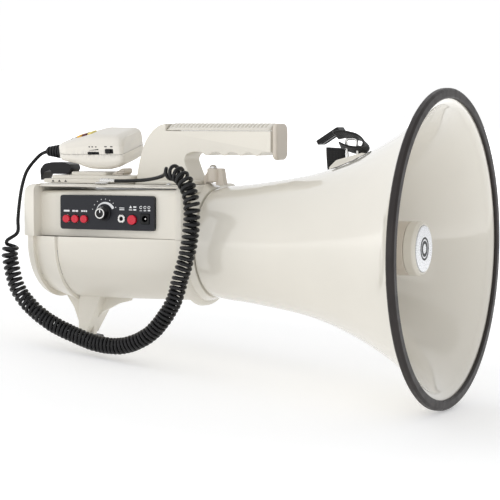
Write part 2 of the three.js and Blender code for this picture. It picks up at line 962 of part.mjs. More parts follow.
// Middle line of the webbing from the buckle, over the far side of the bell, to the rear ring, with the
// direction of its width at each point.
const STRAP_LINE = [
  { at: [-124, 38.5, 88.5], width: [1, 0, 0] },
  { at: [-124.5, 40.5, 80], width: [1, 0, 0] },
  { at: [-126, 48, 63], width: [1, 0, 0] },
  { at: [-128, 60, 45], width: [1, 0.1, 0] },
  { at: [-131, 70, 22], width: [1, 0.5, 0] },
  { at: [-137, 75, -3], width: [0.5, 1, 0] },
  { at: [-153, 76, -27], width: [0, 1, 0] },
  { at: [-185, 76, -43], width: [0, 1, 0] },
  { at: [-230, 76, -47], width: [0, 1, 0] },
  { at: [-280, 76, -39], width: [0, 1, 0] },
  { at: [-325, 75, -22], width: [0, 1, 0] },
  { at: [-358, 74, -3], width: [0, 1, 0] },
  { at: [-377, 73, 10.5], width: [0, 1, 0] },
];

// A flat band along a smooth curve, turned so that its width follows the given directions.
function ribbon(line, width, thickness, steps) {
  const points = line.map(({ at }) => new THREE.Vector3(...at));
  const widths = line.map((p) => new THREE.Vector3(...p.width));
  const path = new THREE.CatmullRomCurve3(points, false, "centripetal");
  const corners = [];
  for (let i = 0; i <= steps; i++) {
    const t = i / steps;
    const along = path.getTangent(t);
    const place = t * (line.length - 1);
    const k = Math.min(Math.floor(place), line.length - 2);
    const across = widths[k].clone().lerp(widths[k + 1], place - k);
    across.addScaledVector(along, -across.dot(along)).normalize();
    const out = along.clone().cross(across);
    const signs = [[-1, -1], [1, -1], [1, 1], [-1, 1]];
    for (const [a, b] of signs) {
      const corner = path.getPoint(t).addScaledVector(across, (a * width) / 2);
      corners.push(...corner.addScaledVector(out, (b * thickness) / 2).toArray());
    }
  }
  const faces = [0, 1, 2, 0, 2, 3];
  for (let i = 0; i < steps; i++) {
    for (let j = 0; j < 4; j++) {
      const here = 4 * i + j;
      const side = 4 * i + ((j + 1) % 4);
      faces.push(here, here + 4, side, side, here + 4, side + 4);
    }
  }
  const last = 4 * steps;
  faces.push(last, last + 2, last + 1, last, last + 3, last + 2);
  const g = new THREE.BufferGeometry().setAttribute(
    "position",
    new THREE.Float32BufferAttribute(corners, 3),
  );
  return solid(g.setIndex(faces));
}

// The bell's outside with a gap, used to seat what stands on it.
function bellEnvelope() {
  const outer = bellCurve()
    .getPoints(BELL_STEPS)
    .map((p) => [p.x, p.y + GAP + 0.2]);
  return turned([[outer[0][0], 0], ...outer, [outer[outer.length - 1][0], 0]]);
}

function frontLug() {
  const side = outline([
    [-124, 55],
    [-88, 55],
    [-88, 84],
    [-92, 84.4],
    [-117, 77.5],
    [-124, 71],
  ]);
  return cut(
    extruded(side, "y", STRAP_Y - 7.5, STRAP_Y + 7.5),
    bellEnvelope(),
    block(-114, -95, STRAP_Y - 1.8, STRAP_Y + 1.8, 74.5, 90),
  );
}

// A closed ring of straight wires through the corners.
function wireFrame(corners) {
  const last = corners.length;
  const wires = corners.map((c, i) => {
    const from = new THREE.Vector3(...c);
    const to = new THREE.Vector3(...corners[(i + 1) % last]);
    const spare = to.clone().sub(from).setLength(RING_WIRE * 0.8);
    return bar(RING_WIRE, from.sub(spare).toArray(), to.add(spare).toArray(), 8);
  });
  return join(...wires);
}

function frontRing() {
  // Wire frame standing in the lug's groove.
  const corners = [
    [-98.5, STRAP_Y, 76.5],
    [-99.5, STRAP_Y, 97],
    [-110.5, STRAP_Y, 97],
    [-108, STRAP_Y, 76.5],
  ];
  return wireFrame(corners);
}

function strapLoop() {
  // Webbing folded round the ring's front leg.
  const side = outline([
    [-113.5, 86],
    [-109, 85],
    [-95, 85.3],
    [-90.5, 89],
    [-91, 94],
    [-96, 98.8],
    [-106, 100],
    [-113.5, 102.5],
  ]);
  return cut(
    extruded(side, "y", STRAP_Y - 5, STRAP_Y + 5),
    block(-112.3, -96, STRAP_Y - 1.7, STRAP_Y + 1.7, 70, 98.9),
  );
}

function strapBuckle() {
  // Ladder buckle: a frame with two crossbars, tipped forward.
  const frame = cut(
    block(-12.5, 12.5, -9, 9, -2.4, 2.4),
    block(-10, 10, -7, -2.8, -4, 4),
    block(-10, 10, 2.8, 7, -4, 4),
  );
  return frame.rotate([0, -32, 0]).translate([-127, STRAP_Y + 4, 99.5]);
}

const REAR_LUG = { x: -380, y0: BODY_R + GAP, z: 28 };

function rearLug() {
  const { x, y0, z } = REAR_LUG;
  return cut(
    block(x - 6, x + 6, y0, y0 + 31, z - 5, z + 6),
    block(x - 1.8, x + 1.8, y0 + 3.5, y0 + 28, z - 8, z + 3),
  );
}

function rearRing() {
  const { x, y0, z } = REAR_LUG;
  const corners = [
    [x, y0 + 6.5, z],
    [x, y0 + 23.5, z],
    [x, y0 + 28.5, z - 16],
    [x, y0 + 5, z - 16],
  ];
  return wireFrame(corners);
}

function buildStrap() {
  part("strap_lug_front", frontLug(), CREAM);
  part("strap_ring_front", frontRing(), STEEL);
  part("strap_loop", strapLoop(), WEBBING);
  part("strap_buckle", strapBuckle(), BLACK);
  part("strap_webbing", ribbon(STRAP_LINE, STRAP_W, STRAP_T, 48), WEBBING);
  part("strap_lug_rear", rearLug(), CREAM);
  part("strap_ring_rear", rearRing(), STEEL);
}

buildHorn();
buildHousing();
buildPanel();
buildPack();
buildHandle();
buildMicrophone();
buildCradle();
buildCord();
buildStrap();

// Stand the part on its rim and foot, with its origin under the middle of everything but the cord.
megaphone.rotation.y = -PITCH;
const standing = new THREE.Box3();
megaphone.updateMatrixWorld(true);
megaphone.traverse((o) => {
  if (o.isMesh && !CORDS.includes(o)) standing.expandByObject(o, true);
});
megaphone.position.set(-(standing.min.x + standing.max.x) / 2, 0, -standing.min.z);

export default megaphone;
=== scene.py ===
"""A handheld megaphone's looks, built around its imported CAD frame.

Shapes are drawn in millimetres with the horn's axis on X, its mouth at X = 0, +Y away from the control
panel and +Z up, and TO_ROW carries them into the row frame, where the megaphone stands on its rim and foot.
"""

import json
import math

import bmesh
import bpy
import numpy as np
from mathutils import Matrix, Vector


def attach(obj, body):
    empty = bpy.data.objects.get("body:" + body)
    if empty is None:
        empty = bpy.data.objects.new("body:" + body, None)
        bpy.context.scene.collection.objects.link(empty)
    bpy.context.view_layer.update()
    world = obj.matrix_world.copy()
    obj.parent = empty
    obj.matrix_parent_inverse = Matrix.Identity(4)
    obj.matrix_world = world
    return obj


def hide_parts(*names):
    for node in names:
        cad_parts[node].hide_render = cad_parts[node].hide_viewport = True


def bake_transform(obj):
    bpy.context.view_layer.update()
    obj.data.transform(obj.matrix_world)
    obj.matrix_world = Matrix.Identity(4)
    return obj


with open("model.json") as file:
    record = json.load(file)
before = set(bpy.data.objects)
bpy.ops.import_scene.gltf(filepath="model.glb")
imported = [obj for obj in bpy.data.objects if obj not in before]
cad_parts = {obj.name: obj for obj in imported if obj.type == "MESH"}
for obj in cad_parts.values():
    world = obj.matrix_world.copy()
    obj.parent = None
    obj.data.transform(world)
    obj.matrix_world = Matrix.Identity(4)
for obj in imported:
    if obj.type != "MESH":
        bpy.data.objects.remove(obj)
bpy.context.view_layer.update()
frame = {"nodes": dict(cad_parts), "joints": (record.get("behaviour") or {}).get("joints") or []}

# Frames ---------------------------------------------------------------------------------------------
MM = 0.001
JOINTS = {j["name"]: j for j in frame["joints"]}
ROOT = "megaphone"
MIC_BODY = "microphone"
KNOB_AT = (-315.3, -60, 28.1)

pull = JOINTS["battery_cover_pull"]["axis"]
PITCH = math.atan2(-pull[2], -pull[0])
TURN = Matrix.Rotation(-PITCH, 4, "Y")
SHIFT = Vector(JOINTS["volume_knob_turn"]["pos_m"]) - TURN @ (Vector(KNOB_AT) * MM)
TO_ROW = Matrix.Translation(SHIFT) @ TURN @ Matrix.Scale(MM, 4)
MIC_AT = Vector((-356, 0, 88.7))
MIC_ROLL = math.radians(12)
MIC_TO_ROW = TO_ROW @ Matrix.Translation(MIC_AT) @ Matrix.Rotation(MIC_ROLL, 4, "X")


def row(x, y, z):
    return TO_ROW @ Vector((x, y, z))


# Driving dimensions ---------------------------------------------------------------------------------
ROUND = 160
BODY_R = 56
BODY_REAR = -404
BODY_FRONT = -236
BODY_TOP = 51
SEAM_Z = 5.1
COVER_X = -367
WALL = 3
PLATE_TOP = 54.3
PANEL = (-362.6, -263.7, 12.5, 44.3)
PANEL_Y = -57
GRIP_TOP = 104
CORD_R = 1.75
COIL_R = 8.2
STRAP_Y = 30

# Camera and the plain studio ------------------------------------------------------------------------
SENSOR_WIDTH = 36
LENS = 139.8528
VIEW_AZIMUTH = math.radians(25.067)
VIEW_ELEVATION = math.radians(3.726)
VIEW_ROLL = math.radians(0.073)
CAMERA_AT = (566.8, -1625.4, 110.9)


def add_camera():
    a, e, t = VIEW_AZIMUTH, VIEW_ELEVATION, VIEW_ROLL
    backward = Vector((math.sin(a) * math.cos(e), -math.cos(a) * math.cos(e), math.sin(e)))
    flat_right = (-backward).cross(Vector((0, 0, 1))).normalized()
    flat_up = flat_right.cross(-backward)
    right = flat_right * math.cos(t) + flat_up * math.sin(t)
    up = flat_up * math.cos(t) - flat_right * math.sin(t)
    axes = Matrix((right, up, backward)).transposed().to_4x4()
    data = bpy.data.cameras.new("camera")
    data.sensor_width = SENSOR_WIDTH
    data.lens = LENS
    data.clip_end = 50
    camera = bpy.data.objects.new("camera", data)
    camera.matrix_world = Matrix.Translation(row(*CAMERA_AT)) @ TURN @ axes
    bpy.context.scene.collection.objects.link(camera)
    bpy.context.scene.camera = camera


def add_panel_light(name, at, towards, size, watts, color=(1, 1, 1)):
    data = bpy.data.lights.new(name, "AREA")
    data.shape = "RECTANGLE"
    data.size, data.size_y = size
    data.energy = watts
    data.color = color
    light = bpy.data.objects.new(name, data)
    light.location = at
    light.rotation_euler = (Vector(towards) - Vector(at)).to_track_quat("-Z", "Y").to_euler()
    bpy.context.scene.collection.objects.link(light)


def stage_material(name, color, glow):
    material = bpy.data.materials.new(name)
    material.use_nodes = True
    shader = material.node_tree.nodes["Principled BSDF"]
    shader.inputs["Base Color"].default_value = (*color, 1)
    shader.inputs["Roughness"].default_value = 0.6
    shader.inputs["Specular IOR Level"].default_value = 0.1
    shader.inputs["Emission Color"].default_value = (1, 1, 1, 1)
    shader.inputs["Emission Strength"].default_value = glow
    return material


def map_range(tree, factor, from_low, from_high, low, high):
    """A value carried linearly from one range to another."""
    node = tree.nodes.new("ShaderNodeMapRange")
    ends = {"From Min": from_low, "From Max": from_high, "To Min": low, "To Max": high}
    for key, value in ends.items():
        node.inputs[key].default_value = value
    tree.links.new(factor, node.inputs["Value"])
    return node.outputs["Result"]


def fade_to_white(material):
    """The floor glows more with distance, so its far edge melts into the backdrop."""
    tree = material.node_tree
    place = tree.nodes.new("ShaderNodeTexCoord")
    length = tree.nodes.new("ShaderNodeVectorMath")
    length.operation = "LENGTH"
    tree.links.new(place.outputs["Object"], length.inputs[0])
    glow = map_range(tree, length.outputs["Value"], 0.3, 1.6, 0.3, 1.0)
    tree.links.new(glow, tree.nodes["Principled BSDF"].inputs["Emission Strength"])


def light_the_walls(tree):
    """Bright walls up to a height all round, a dimmer ceiling, and less light from the mouth's side."""
    place = tree.nodes.new("ShaderNodeTexCoord")
    parts = tree.nodes.new("ShaderNodeSeparateXYZ")
    tree.links.new(place.outputs["Generated"], parts.inputs["Vector"])
    ceiling = map_range(tree, parts.outputs["Z"], 0.82, 0.86, 1.0, 0.45)
    side = map_range(tree, parts.outputs["X"], -0.8, 0.9, 1.12, 0.62)
    strength = tree.nodes.new("ShaderNodeMath")
    strength.operation = "MULTIPLY"
    tree.links.new(ceiling, strength.inputs[0])
    tree.links.new(side, strength.inputs[1])
    tree.nodes["Background"].inputs["Color"].default_value = (0.985, 0.99, 1, 1)
    tree.links.new(strength.outputs["Value"], tree.nodes["Background"].inputs["Strength"])


def add_studio():
    scene = bpy.context.scene
    scene.view_settings.view_transform = "Standard"
    scene.view_settings.look = "None"
    world = bpy.data.worlds.new("studio")
    world.use_nodes = True
    light_the_walls(world.node_tree)
    scene.world = world

    bpy.ops.mesh.primitive_circle_add(vertices=96, radius=6, fill_type="NGON", location=(0, 0, -0.0004))
    floor = bpy.context.object
    floor.name = "floor"
    white = stage_material("floor", (0.86, 0.86, 0.86), 0.3)
    fade_to_white(white)
    floor.data.materials.append(white)
    bpy.ops.mesh.primitive_uv_sphere_add(segments=48, ring_count=24, radius=12)
    dome = bpy.context.object
    dome.name = "backdrop"
    dome.data.materials.append(stage_material("backdrop", (0, 0, 0), 1.0))
    dome.visible_diffuse = False
    dome.visible_glossy = False
    dome.visible_transmission = False
    dome.visible_shadow = False

    add_panel_light("key_panel", (0.75, -2.3, 1.15), (0, 0, 0.16), (2.4, 1.9), 7)
    add_panel_light("top_panel", (-0.3, 0.1, 2.2), (0, 0, 0.1), (2.2, 1.6), 4)


add_camera()
add_studio()

# Materials ------------------------------------------------------------------------------------------


class Look:
    """A procedural material under construction."""

    def __init__(self, name, slot):
        self.material = bpy.data.materials.new(name)
        self.material.use_nodes = True
        self.tree = self.material.node_tree
        self.shader = self.tree.nodes["Principled BSDF"]
        self.slot = slot
        self.place = self.tree.nodes.new("ShaderNodeTexCoord")

    def link(self, a, b):
        self.tree.links.new(a, b)

    def set(self, **values):
        for key, value in values.items():
            self.shader.inputs[key.replace("_", " ")].default_value = value

    def noise(self, scale, detail=3, stretch=(1, 1, 1), source="Object"):
        mapping = self.tree.nodes.new("ShaderNodeMapping")
        mapping.inputs["Scale"].default_value = stretch
        self.link(self.place.outputs[source], mapping.inputs["Vector"])
        node = self.tree.nodes.new("ShaderNodeTexNoise")
        node.inputs["Scale"].default_value = scale
        node.inputs["Detail"].default_value = detail
        self.link(mapping.outputs["Vector"], node.inputs["Vector"])
        return node.outputs["Fac"]

    def ramp(self, factor, stops):
        node = self.tree.nodes.new("ShaderNodeValToRGB")
        elements = node.color_ramp.elements
        while len(elements) < len(stops):
            elements.new(0.5)
        for element, (at, color) in zip(elements, stops):
            element.position = at
            element.color = (*color, 1) if len(color) == 3 else color
        self.link(factor, node.inputs["Fac"])
        return node.outputs["Color"]

    def spread(self, factor, low, high, from_low=0.3, from_high=0.7):
        return map_range(self.tree, factor, from_low, from_high, low, high)

    def mix(self, factor, a, b, kind="MIX"):
        node = self.tree.nodes.new("ShaderNodeMix")
        node.data_type = "RGBA"
        node.blend_type = kind
        if isinstance(factor, (int, float)):
            node.inputs["Factor"].default_value = factor
        else:
            self.link(factor, node.inputs["Factor"])
        for socket, value in ((node.inputs[6], a), (node.inputs[7], b)):
            if isinstance(value, tuple):
                socket.default_value = (*value, 1)
            else:
                self.link(value, socket)
        return node.outputs[2]

    def bump(self, height, strength, distance, under=None):
        node = self.tree.nodes.new("ShaderNodeBump")
        node.inputs["Strength"].default_value = strength
        node.inputs["Distance"].default_value = distance
        self.link(height, node.inputs["Height"])
        if under is not None:
            self.link(under, node.inputs["Normal"])
        return node.outputs["Normal"]

    def lighten_edges(self, color, lighter, low=0.53, high=0.62, amount=0.5):
        """Convex edges a little lighter than the faces."""
        geometry = self.tree.nodes.new("ShaderNodeNewGeometry")
        edge = self.spread(geometry.outputs["Pointiness"], 0, amount, low, high)
        return self.mix(edge, color, lighter)

    def feed(self, **outputs):
        for key, output in outputs.items():
            self.link(output, self.shader.inputs[key.replace("_", " ")])


def scaled(color, k):
    return tuple(min(1, c * k) for c in color)


def plastic(name, slot, color, rough, grain=0.06, coat=0.0, vary=0.03, gloss=0.5):
    """Moulded plastic: slight colour and gloss variation, fine orange peel and faint handling scratches."""
    look = Look(name, slot)
    broad = look.noise(9, 4)
    tint = look.ramp(broad, [(0.3, scaled(color, 1 - vary)), (0.7, scaled(color, 1 + vary))])
    look.feed(Base_Color=look.lighten_edges(tint, scaled(color, 1.12)))
    scratches = look.noise(60, 6, stretch=(1, 14, 14))
    look.feed(Roughness=look.spread(scratches, rough * 0.93, rough * 1.08))
    peel = look.noise(520, 2)
    look.feed(Normal=look.bump(peel, grain, 0.00012))
    look.set(Coat_Weight=coat, Coat_Roughness=0.03, Specular_IOR_Level=gloss)
    return look


def rubber(name, slot, color, rough, grain=0.25, gloss=0.35):
    look = Look(name, slot)
    dust = look.noise(45, 5)
    tint = look.ramp(dust, [(0.35, color), (0.75, scaled(color, 1.45))])
    look.feed(Base_Color=look.lighten_edges(tint, scaled(color, 2.0), amount=0.35))
    look.feed(Roughness=look.spread(look.noise(120, 4), rough * 0.85, rough * 1.2))
    look.feed(Normal=look.bump(look.noise(2200, 3), grain, 0.0001))
    look.set(Specular_IOR_Level=gloss)
    return look


def metal(name, slot, color, rough, stretch=(1, 1, 1)):
    look = Look(name, slot)
    streaks = look.noise(700, 4, stretch=stretch)
    look.feed(Base_Color=look.ramp(streaks, [(0.3, scaled(color, 0.86)), (0.7, color)]))
    look.feed(Roughness=look.spread(streaks, rough * 0.75, rough * 1.35))
    look.feed(Normal=look.bump(streaks, 0.05, 0.00005))
    look.set(Metallic=1.0)
    return look


def webbing(name, slot):
    """Tight woven tape; its UVs run in metres along and across the band."""
    look = Look(name, slot)
    mapping = look.tree.nodes.new("ShaderNodeMapping")
    look.link(look.place.outputs["UV"], mapping.inputs["Vector"])
    heights = []
    for direction, scale in (("X", 900), ("Y", 620)):
        wave = look.tree.nodes.new("ShaderNodeTexWave")
        wave.wave_type = "BANDS"
        wave.bands_direction = direction
        wave.inputs["Scale"].default_value = scale / 6.283
        wave.inputs["Distortion"].default_value = 0.6
        wave.inputs["Detail"].default_value = 1
        look.link(mapping.outputs["Vector"], wave.inputs["Vector"])
        heights.append(wave.outputs["Fac"])
    weave = look.tree.nodes.new("ShaderNodeMath")
    weave.operation = "MULTIPLY"
    look.link(heights[0], weave.inputs[0])
    look.link(heights[1], weave.inputs[1])
    fuzz = look.noise(1500, 4)
    threads = look.ramp(weave.outputs["Value"], [(0.05, (0.004, 0.004, 0.005)), (0.8, (0.02, 0.02, 0.023))])
    look.feed(Base_Color=look.mix(0.35, threads, look.ramp(fuzz, [(0.3, (0.004,) * 3), (0.75, (0.03,) * 3)])))
    look.feed(Normal=look.bump(weave.outputs["Value"], 0.7, 0.0003, look.bump(fuzz, 0.3, 0.0002)))
    look.set(Roughness=0.75, Sheen_Weight=0.3, Sheen_Roughness=0.4)
    return look


def paint(name, slot, color, rough=0.45):
    """Printed marks, and painted shade for the inside of openings."""
    look = Look(name, slot)
    patchy = look.noise(900, 3)
    look.feed(Base_Color=look.ramp(patchy, [(0.25, scaled(color, 0.86)), (0.6, color)]))
    look.feed(Roughness=look.spread(patchy, rough * 0.9, rough * 1.15))
    return look


CREAM = plastic("cream_gloss", "housing_plastic", (0.76, 0.725, 0.645), 0.12, coat=1.0)
CREAM_SATIN = plastic("cream_satin", "housing_plastic", (0.76, 0.725, 0.645), 0.3, grain=0.12)
TAN = plastic("tan_satin", "tan_plastic", (0.66, 0.60, 0.52), 0.3, grain=0.12)
MIC_CREAM = plastic("mic_cream", "housing_plastic", (0.78, 0.745, 0.675), 0.32, grain=0.4)
RED = plastic("red_gloss", "red_plastic", (0.60, 0.012, 0.035), 0.22, vary=0.08)
YELLOW = plastic("yellow_gloss", "yellow_plastic", (0.85, 0.50, 0.08), 0.3, vary=0.06)
PALE_YELLOW = plastic("pale_yellow_gloss", "yellow_plastic", (0.82, 0.70, 0.22), 0.3, vary=0.06)
DARK_RED = plastic("dark_red_gloss", "dark_red_plastic", (0.10, 0.006, 0.02), 0.3, vary=0.1)
BLACK = plastic("black_satin", "black_plastic", (0.006, 0.006, 0.0065), 0.35, grain=0.3, vary=0.2, gloss=0.3)
PANEL_GREY = plastic("panel_grey", "panel_plastic", (0.026, 0.027, 0.032), 0.42, 0.4, vary=0.08, gloss=0.2)
TRIM = rubber("trim_rubber", "trim_rubber", (0.022, 0.018, 0.017), 0.42, grain=0.15, gloss=0.3)
MIC_RUBBER = rubber("relief_rubber", "trim_rubber", (0.009, 0.009, 0.010), 0.45)
CORD = rubber("cord_sheath", "cord_rubber", (0.004, 0.004, 0.0045), 0.24, grain=0.05)
WEB = webbing("strap_weave", "webbing")
STEEL = metal("plated_steel", "steel", (0.72, 0.71, 0.69), 0.22)
SILVER = metal("silver_disc", "aluminium_disc", (0.86, 0.87, 0.89), 0.3, stretch=(1, 1, 9))
SILVER.set(Metallic=0.55)
WHITE_MARK = paint("white_mark", "panel_plastic", (0.82, 0.83, 0.84))
DARK_MARK = paint("dark_mark", "black_plastic", (0.012, 0.012, 0.014))
# Near-black painted shade that stands in for the depth of holes and slots.
HOLE_SHADE = paint("painted_hole_shade", "black_plastic", (0.006, 0.006, 0.007), 0.8)

# Mesh code ------------------------------------------------------------------------------------------


def fillet(points, radius, closed=False, steps=4):
    """The polyline with its corners rounded."""
    pts = [Vector(p) for p in points]
    n = len(pts)
    out = []
    for i, p in enumerate(pts):
        if not closed and i in (0, n - 1):
            out.append(p)
            continue
        a, b = pts[i - 1], pts[(i + 1) % n]
        da, db = (a - p), (b - p)
        if da.length < 1e-6 or db.length < 1e-6:
            out.append(p)
            continue
        half = da.angle(db, math.pi) / 2
        if half > math.radians(85):
            out.append(p)
            continue
        r = radius[i] if isinstance(radius, (list, tuple)) else radius
        cut = min(r / math.tan(half), 0.45 * da.length, 0.45 * db.length)
        start, end = p + da.normalized() * cut, p + db.normalized() * cut
        for k in range(steps + 1):
            t = k / steps
            out.append(start * (1 - t) ** 2 + p * 2 * t * (1 - t) + end * t * t)
    return [tuple(p) for p in out]


def between(a, b, start, end, t):
    """The point from a to b where the parameter runs from start to end and is t."""
    return (end - t) / (end - start) * a + (t - start) / (end - start) * b


def spline(points, steps):
    """A smooth Catmull-Rom curve through the points, as an array."""
    pts = np.array(points, float)
    gaps = np.linalg.norm(np.diff(pts, axis=0), axis=1) ** 0.5
    knots = np.concatenate([[0], np.cumsum(gaps)])
    ext = np.vstack([2 * pts[0] - pts[1], pts, 2 * pts[-1] - pts[-2]])
    ek = np.concatenate([[-gaps[0]], knots, [knots[-1] + gaps[-1]]])
    out = []
    for t in np.linspace(0, knots[-1], steps + 1):
        i = min(int(np.searchsorted(knots, t, side="right")) - 1, len(pts) - 2)
        k = ek[i : i + 4]
        p = ext[i : i + 4]
        a = [between(p[j], p[j + 1], k[j], k[j + 1], t) for j in range(3)]
        b = [between(a[j], a[j + 1], k[j], k[j + 2], t) for j in range(2)]
        out.append(between(b[0], b[1], k[1], k[2], t))
    return np.array(out)


def unit_tangents(path):
    tangents = np.gradient(path, axis=0)
    return tangents / np.linalg.norm(tangents, axis=1)[:, None]


def lathe(profile, angles=ROUND, closed=True, reshape=None):
    """A profile of (x, radius) turned round the X axis. reshape(x, r, angle) may change the radius."""
    if isinstance(angles, int):
        angles = [i / angles * 2 * math.pi for i in range(angles)]
    n, m = len(profile), len(angles)
    verts = []
    for angle in angles:
        for x, r in profile:
            radius = reshape(x, r, angle) if reshape else r
            verts.append((x, radius * math.cos(angle), radius * math.sin(angle)))
    faces = []
    for i in range(m):
        j = (i + 1) % m
        for k in range(n if closed else n - 1):
            l = (k + 1) % n
            faces.append((i * n + k, i * n + l, j * n + l, j * n + k))
    return verts, faces


def loft(rings, cap_start=True, cap_end=True, closed_ring=True):
    """Faces between rings of equally many points."""
    n = len(rings[0])
    verts = [tuple(p) for ring in rings for p in ring]
    faces = []
    for i in range(len(rings) - 1):
        for k in range(n if closed_ring else n - 1):
            l = (k + 1) % n
            faces.append((i * n + k, i * n + l, (i + 1) * n + l, (i + 1) * n + k))
    if cap_start:
        faces.append(tuple(range(n)))
    if cap_end:
        last = (len(rings) - 1) * n
        faces.append(tuple(last + k for k in reversed(range(n))))
    return verts, faces


def prism(points, axis, a, b):
    """A flat outline pushed along an axis from a to b."""
    order = {"x": lambda u, v, w: (w, u, v), "y": lambda u, v, w: (u, w, v), "z": lambda u, v, w: (u, v, w)}
    put = order[axis]
    return loft([[put(u, v, w) for u, v in points] for w in (a, b)])


def tube(path, radius, sides=10):
    """A round tube along a path, with a frame that doesn't twist."""
    path = np.asarray(path, float)
    tangents = unit_tangents(path)
    normal = np.cross(tangents[0], (0, 0, 1))
    if np.linalg.norm(normal) < 0.1:
        normal = np.cross(tangents[0], (1, 0, 0))
    rings = []
    radii = np.broadcast_to(radius, len(path))
    for p, t, r in zip(path, tangents, radii):
        normal = normal - t * normal.dot(t)
        normal /= np.linalg.norm(normal)
        side = np.cross(t, normal)
        ring = [
            p + r * (math.cos(2 * math.pi * k / sides) * normal + math.sin(2 * math.pi * k / sides) * side)
            for k in range(sides)
        ]
        rings.append(ring)
    return loft(rings)


def ring_tube(path, radius, sides=12):
    """A round wire whose path closes on itself."""
    path = np.asarray(path, float)
    n = len(path)
    verts, faces = [], []
    centre = path.mean(0)
    flat = np.cross(path[0] - centre, path[n // 4] - centre)
    flat /= np.linalg.norm(flat)
    for i in range(n):
        t = path[(i + 1) % n] - path[i - 1]
        t /= np.linalg.norm(t)
        out = np.cross(t, flat)
        for k in range(sides):
            angle = 2 * math.pi * k / sides
            verts.append(tuple(path[i] + radius * (math.cos(angle) * out + math.sin(angle) * flat)))
    for i in range(n):
        for k in range(sides):
            a, b = i * sides, ((i + 1) % n) * sides
            l = (k + 1) % sides
            faces.append((a + k, a + l, b + l, b + k))
    return verts, faces


def turned_at(profile, at, towards, sides=40, closed=True, reshape=None):
    """A turned shape whose X axis is laid along a direction from a point."""
    verts, faces = lathe(profile, sides, closed, reshape)
    turn = Vector((1, 0, 0)).rotation_difference(Vector(towards).normalized())
    return [tuple(Vector(at) + turn @ Vector(v)) for v in verts], faces


def rod(radius, length, at, towards, sides=40):
    return turned_at([(0, 0), (0, radius), (length, radius), (length, 0)], at, towards, sides, closed=False)


def rectangle(u0, u1, v0, v1, radius, steps=5):
    return fillet([(u0, v0), (u1, v0), (u1, v1), (u0, v1)], radius, closed=True, steps=steps)


def slab(x0, x1, z0, z1, y0, y1):
    """A block with square corners."""
    return prism([(x0, z0), (x1, z0), (x1, z1), (x0, z1)], "y", y0, y1)


def stepped(x0, x1, half, corner, levels, segments=5, middle=0):
    """Rounded rectangles stacked up at levels of (inset, z)."""
    rings = []
    for inset, z in levels:
        depth = half - inset
        flat = rectangle(x0 + inset, x1 - inset, middle - depth, middle + depth, corner, segments)
        rings.append([(x, y, z) for x, y in flat])
    return loft(rings)


def merged(*shapes):
    verts, faces = [], []
    for v, f in shapes:
        start = len(verts)
        verts.extend(v)
        faces.extend(tuple(i + start for i in face) for face in f)
    return verts, faces


def settle(obj):
    """Applies the modifiers."""
    depsgraph = bpy.context.evaluated_depsgraph_get()
    mesh = bpy.data.meshes.new_from_object(obj.evaluated_get(depsgraph))
    obj.modifiers.clear()
    old = obj.data
    obj.data = mesh
    bpy.data.meshes.remove(old)


def build(name, shape, look, to_row=TO_ROW):
    verts, faces = shape
    mesh = bpy.data.meshes.new(name)
    mesh.from_pydata([to_row @ Vector(v) for v in verts], [], faces)
    bm = bmesh.new()
    bm.from_mesh(mesh)
    bmesh.ops.remove_doubles(bm, verts=bm.verts, dist=1e-7)
    bmesh.ops.dissolve_degenerate(bm, edges=bm.edges, dist=1e-7)
    bmesh.ops.recalc_face_normals(bm, faces=bm.faces)
    bm.to_mesh(mesh)
    bm.free()
    mesh.materials.append(look.material)
    obj = bpy.data.objects.new(name, mesh)
    bpy.context.scene.collection.objects.link(obj)
    obj["look_slot"] = look.slot
    return obj


def soften(obj, width, segments=3, angle=40):
    """Rounded edges with flat faces left flat."""
    if width:
        bevel = obj.modifiers.new("bevel", "BEVEL")
        bevel.width = width * MM
        bevel.segments = segments
        bevel.limit_method = "ANGLE"
        bevel.angle_limit = math.radians(angle)
        bevel.use_clamp_overlap = True
    for polygon in obj.data.polygons:
        polygon.use_smooth = True
    weighted = obj.modifiers.new("normals", "WEIGHTED_NORMAL")
    weighted.keep_sharp = False
    settle(obj)


def crisp(obj, angle=35):
    """Flat faces stay flat, gentle turns run smooth and edges past the angle stay sharp."""
    for polygon in obj.data.polygons:
        polygon.use_smooth = True
    obj.data.set_sharp_from_angle(angle=math.radians(angle))
    weighted = obj.modifiers.new("normals", "WEIGHTED_NORMAL")
    weighted.keep_sharp = True
    settle(obj)


def carve(obj, *cutters, operation="DIFFERENCE"):
    for cutter in cutters:
        modifier = obj.modifiers.new("carve", "BOOLEAN")
        modifier.operation = operation
        modifier.object = cutter
        modifier.solver = "EXACT"
    settle(obj)
    for cutter in cutters:
        bpy.data.objects.remove(cutter)


def thicken(obj, thickness):
    """Gives an open surface a wall, on the side away from its normals."""
    wall = obj.modifiers.new("wall", "SOLIDIFY")
    wall.thickness = thickness * MM
    wall.offset = -1
    wall.use_even_offset = True
    settle(obj)


def place(obj, body=ROOT, stands_for=()):
    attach(obj, body)
    if stands_for:
        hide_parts(*stands_for)
    return obj


def make(name, shape, look, body=ROOT, stands_for=(), bevel=0, segments=3, to_row=TO_ROW, smooth=True):
    obj = build(name, shape, look, to_row)
    if smooth:
        soften(obj, bevel, segments)
    return place(obj, body, stands_for)


